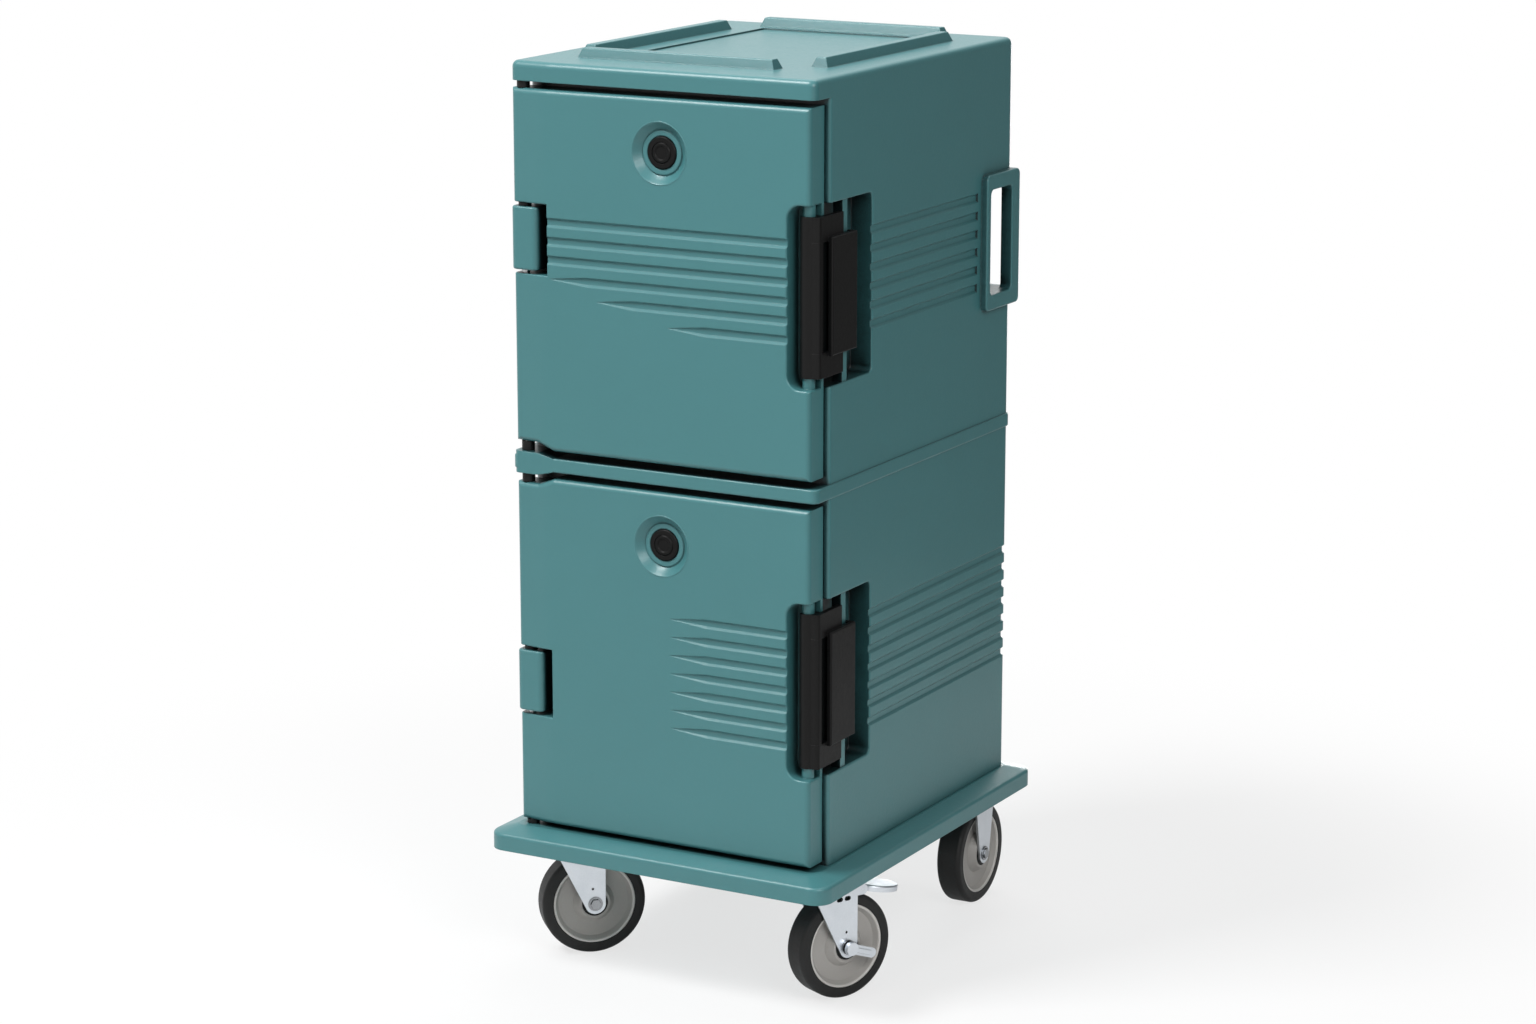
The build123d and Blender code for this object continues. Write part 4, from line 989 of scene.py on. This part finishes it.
@dataclass
class LatchWeb(LatchTrim):
    """Wall at the back of a latch's finger slot, from its barrel to behind its plate."""

    inner: float = 0.6
    outer: float = 3.0
    front: float = 31.5
    back: float = 75.0
    lap: float = 2.0
    toe: float = 4.0
    heel: float = 6.0
    edge_round: float = 0.6
    edge_steps: int = 2
    facing_limit: float = 0.9

    PIECE = "latch_web"

    def form(self, block: bpy.types.Object) -> None:
        """Draw out the wall's toe and heel and round its edges.

        Args:
            block: Wall in edit mode.
        """
        self.draw_out(block, Vector(FORWARDS), self.toe)
        self.draw_out(block, Vector(INWARDS), self.heel)
        bpy.ops.mesh.select_all(action="SELECT")
        bpy.ops.mesh.bevel(
            offset=self.edge_round * MM, segments=self.edge_steps, affect="EDGES"
        )

    def draw_out(self, block: bpy.types.Object, way: Vector, length: float) -> None:
        """Extrude the foremost face that looks a way.

        Args:
            block: Wall in edit mode.
            way: Direction that the face looks in.
            length: How far it goes, in millimetres.
        """
        bpy.ops.mesh.select_mode(type="FACE")
        bpy.ops.mesh.select_all(action="DESELECT")
        mesh = bmesh.from_edit_mesh(block.data)
        facing = [face for face in mesh.faces if face.normal.dot(way) > self.facing_limit]
        foremost = min(facing, key=lambda face: face.calc_center_median().y)
        foremost.select_set(True)
        bmesh.update_edit_mesh(block.data)
        bpy.ops.mesh.extrude_region_move(TRANSFORM_OT_translate={"value": way * length * MM})


@dataclass
class LatchCheek(LatchTrim):
    """Flat beside a latch's barrel, with the arms' rounded front corner."""

    inner: float = -2.9
    outer: float = 8.6
    front: float = 12.0
    back: float = 23.0
    lap: float = 0.0
    lean: float = 1.6
    corner_round: float = 6.0
    corner_steps: int = 8

    PIECE = "latch_cheek"

    def form(self, block: bpy.types.Object) -> None:
        """Lean the flat onto the barrel and round its front corner.

        Args:
            block: Flat in edit mode.
        """
        low, high = self.span()
        height = (low.z + high.z) / 2.0
        self.select_edge(block, Vector((low.x, low.y, height)))
        bpy.ops.transform.translate(value=(-self.lean * MM, 0.0, 0.0))
        self.select_edge(block, Vector((high.x, low.y, height)))
        bpy.ops.mesh.bevel(
            offset=self.corner_round * MM, segments=self.corner_steps, affect="EDGES"
        )

    def select_edge(self, block: bpy.types.Object, spot: Vector) -> None:
        """Select the one edge whose middle lies nearest to a spot.

        Args:
            block: Flat in edit mode.
            spot: Place of the edge's middle, in metres.
        """
        bpy.ops.mesh.select_mode(type="EDGE")
        bpy.ops.mesh.select_all(action="DESELECT")
        mesh = bmesh.from_edit_mesh(block.data)
        middles = {edge: (edge.verts[0].co + edge.verts[1].co) / 2.0 for edge in mesh.edges}
        nearest = min(middles, key=lambda edge: (middles[edge] - spot).length)
        nearest.select_set(True)
        bmesh.update_edit_mesh(block.data)


@dataclass(frozen=True)
class Softbox:
    """One area lamp that looks at a point, in metres and watts."""

    name: str
    place: Point
    aim: Point
    width: float
    height: float
    power: float

    def hang(self) -> None:
        """Add the lamp to the scene."""
        lamp = bpy.data.lights.new(self.name, "AREA")
        lamp.shape = "RECTANGLE"
        lamp.size = self.width
        lamp.size_y = self.height
        lamp.energy = self.power
        holder = bpy.data.objects.new(self.name, lamp)
        bpy.context.scene.collection.objects.link(holder)
        holder.location = self.place
        ahead = Vector(self.aim) - Vector(self.place)
        holder.rotation_euler = ahead.to_track_quat("-Z", "Y").to_euler()


@dataclass
class Studio:
    """Camera, pale floor, backdrop light and lamps."""

    camera_place: Point = (2.7899, -5.0175, 2.0045)
    camera_pitch: float = 13.1523
    camera_turn: float = 29.0708
    lens: float = 91.66
    sensor: float = 36.0
    sight: float = 200.0
    floor_radius: float = 1.9
    floor_sides: int = 128
    floor_tone: float = 0.86
    floor_glow: float = 0.72
    floor_gloss: float = 0.45
    floor_edges: tuple[float, float] = (0.8, 1.8)
    sky_light: float = 0.10
    flag_way: Point = (0.75, 0.66, 0.0)
    flag_tone: float = 0.12
    flag_edges: tuple[float, float] = (0.40, 0.80)
    lamps: tuple[Softbox, ...] = (
        Softbox(
            name="key_softbox",
            place=(-2.0, -2.9, 5.4),
            aim=(0.0, -0.3, 0.8),
            width=1.8,
            height=1.8,
            power=318.0,
        ),
        Softbox(
            name="top_softbox",
            place=(-0.4, 1.5, 4.2),
            aim=(0.0, 0.1, 1.3),
            width=2.4,
            height=2.0,
            power=46.0,
        ),
        Softbox(
            name="back_softbox",
            place=(-1.4, 4.0, 0.65),
            aim=(0.0, 0.3, 0.65),
            width=1.8,
            height=1.1,
            power=55.0,
        ),
        Softbox(
            name="fill_softbox",
            place=(3.0, -2.4, 3.0),
            aim=(0.15, -0.1, 1.2),
            width=1.6,
            height=2.0,
            power=74.0,
        ),
    )

    LEVEL = 90.0

    def set_up(self) -> None:
        """Build the whole studio."""
        self.set_camera()
        self.set_sky()
        self.lay_floor()
        for lamp in self.lamps:
            lamp.hang()
            LOG.info("hung %s", lamp.name)
        bpy.context.scene.view_settings.view_transform = "Standard"

    def set_camera(self) -> None:
        """Stand the camera where the photograph was taken from."""
        data = bpy.data.cameras.new("photo_camera")
        data.lens = self.lens
        data.sensor_width = self.sensor
        data.sensor_fit = "HORIZONTAL"
        data.clip_end = self.sight
        camera = bpy.data.objects.new("photo_camera", data)
        bpy.context.scene.collection.objects.link(camera)
        camera.location = self.camera_place
        tilt = math.radians(self.LEVEL - self.camera_pitch)
        camera.rotation_euler = (tilt, 0.0, math.radians(self.camera_turn))
        bpy.context.scene.camera = camera

    def backdrop_mask(self, graph: NodeGraph, gloss_share: object) -> bpy.types.NodeSocket:
        """Mask of the rays that should see the white backdrop.

        Args:
            graph: Node graph of the floor or the sky.
            gloss_share: Socket or number, the part of it that mirrors show.

        Returns:
            The mask's socket.
        """
        path = graph.add("ShaderNodeLightPath")
        mirrored = graph.math("MULTIPLY", path.outputs["Is Glossy Ray"], gloss_share)
        seen = graph.math("MAXIMUM", path.outputs["Is Camera Ray"], mirrored)
        return graph.math("MAXIMUM", seen, path.outputs["Is Transmission Ray"])

    def flag_share(self, graph: NodeGraph) -> bpy.types.NodeSocket:
        """Part of the backdrop left beside a dark flag that stands on the right.

        Args:
            graph: Node graph of the sky.

        Returns:
            The share's socket.
        """
        way = graph.add("ShaderNodeTexCoord")
        towards = graph.vector_math("DOT_PRODUCT", way.outputs["Generated"], self.flag_way)
        return graph.fade(towards.outputs["Value"], self.flag_edges, (1.0, self.flag_tone))

    def set_sky(self) -> None:
        """White backdrop to the eye, and a plain dim sky for light."""
        world = bpy.data.worlds.new("studio_sky")
        graph = NodeGraph.start(world)
        sink = graph.add("ShaderNodeOutputWorld")
        dim = graph.add("ShaderNodeBackground", Color=opaque(WHITE), Strength=self.sky_light)
        white = graph.add("ShaderNodeBackground", Color=opaque(WHITE), Strength=1.0)
        mask = self.backdrop_mask(graph, self.flag_share(graph))
        graph.join(graph.mix_shaders(mask, dim, white), sink.inputs["Surface"])
        bpy.context.scene.world = world

    def lay_floor(self) -> None:
        """Pale floor that keeps the cart's shadow."""
        bpy.ops.object.select_all(action="DESELECT")
        bpy.ops.mesh.primitive_circle_add(
            vertices=self.floor_sides, radius=self.floor_radius, fill_type="NGON", location=ORIGIN
        )
        floor = bpy.context.object
        floor.name = "studio_floor"
        material = bpy.data.materials.new("pale_floor")
        graph = NodeGraph.start(material)
        sink = graph.add("ShaderNodeOutputMaterial")
        matt = graph.add("ShaderNodeBsdfDiffuse", Color=opaque(grey(self.floor_tone)))
        glow = graph.add("ShaderNodeEmission", Color=opaque(WHITE), Strength=1.0)
        spot = graph.add("ShaderNodeTexCoord")
        reach = graph.vector_math("LENGTH", spot.outputs["Object"])
        far = graph.fade(reach.outputs["Value"], self.floor_edges, (self.floor_glow, 1.0))
        share = graph.math("MULTIPLY", self.backdrop_mask(graph, self.floor_gloss), far)
        graph.join(graph.mix_shaders(share, matt, glow), sink.inputs["Surface"])
        floor.data.materials.append(material)


def main() -> None:
    """Load the frame, dress it, add its trim and set the studio."""
    logging.basicConfig(level=logging.INFO, format="%(name)s: %(message)s")
    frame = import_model()
    wardrobe = Wardrobe(frame)
    wardrobe.dress_frame()
    for door in DOORS:
        VentSurround(door).build(wardrobe)
        LatchWeb(door).build(wardrobe)
        LatchCheek(door).build(wardrobe)
    axles = {joint["child"]: Vector(joint["axis"]) for joint in frame["joints"]}
    for wheel in WHEELS:
        RimBead(wheel, axles[f"{wheel}_wheel"]).build(wardrobe)
    Studio().set_up()


if __name__ == "__main__":
    main()
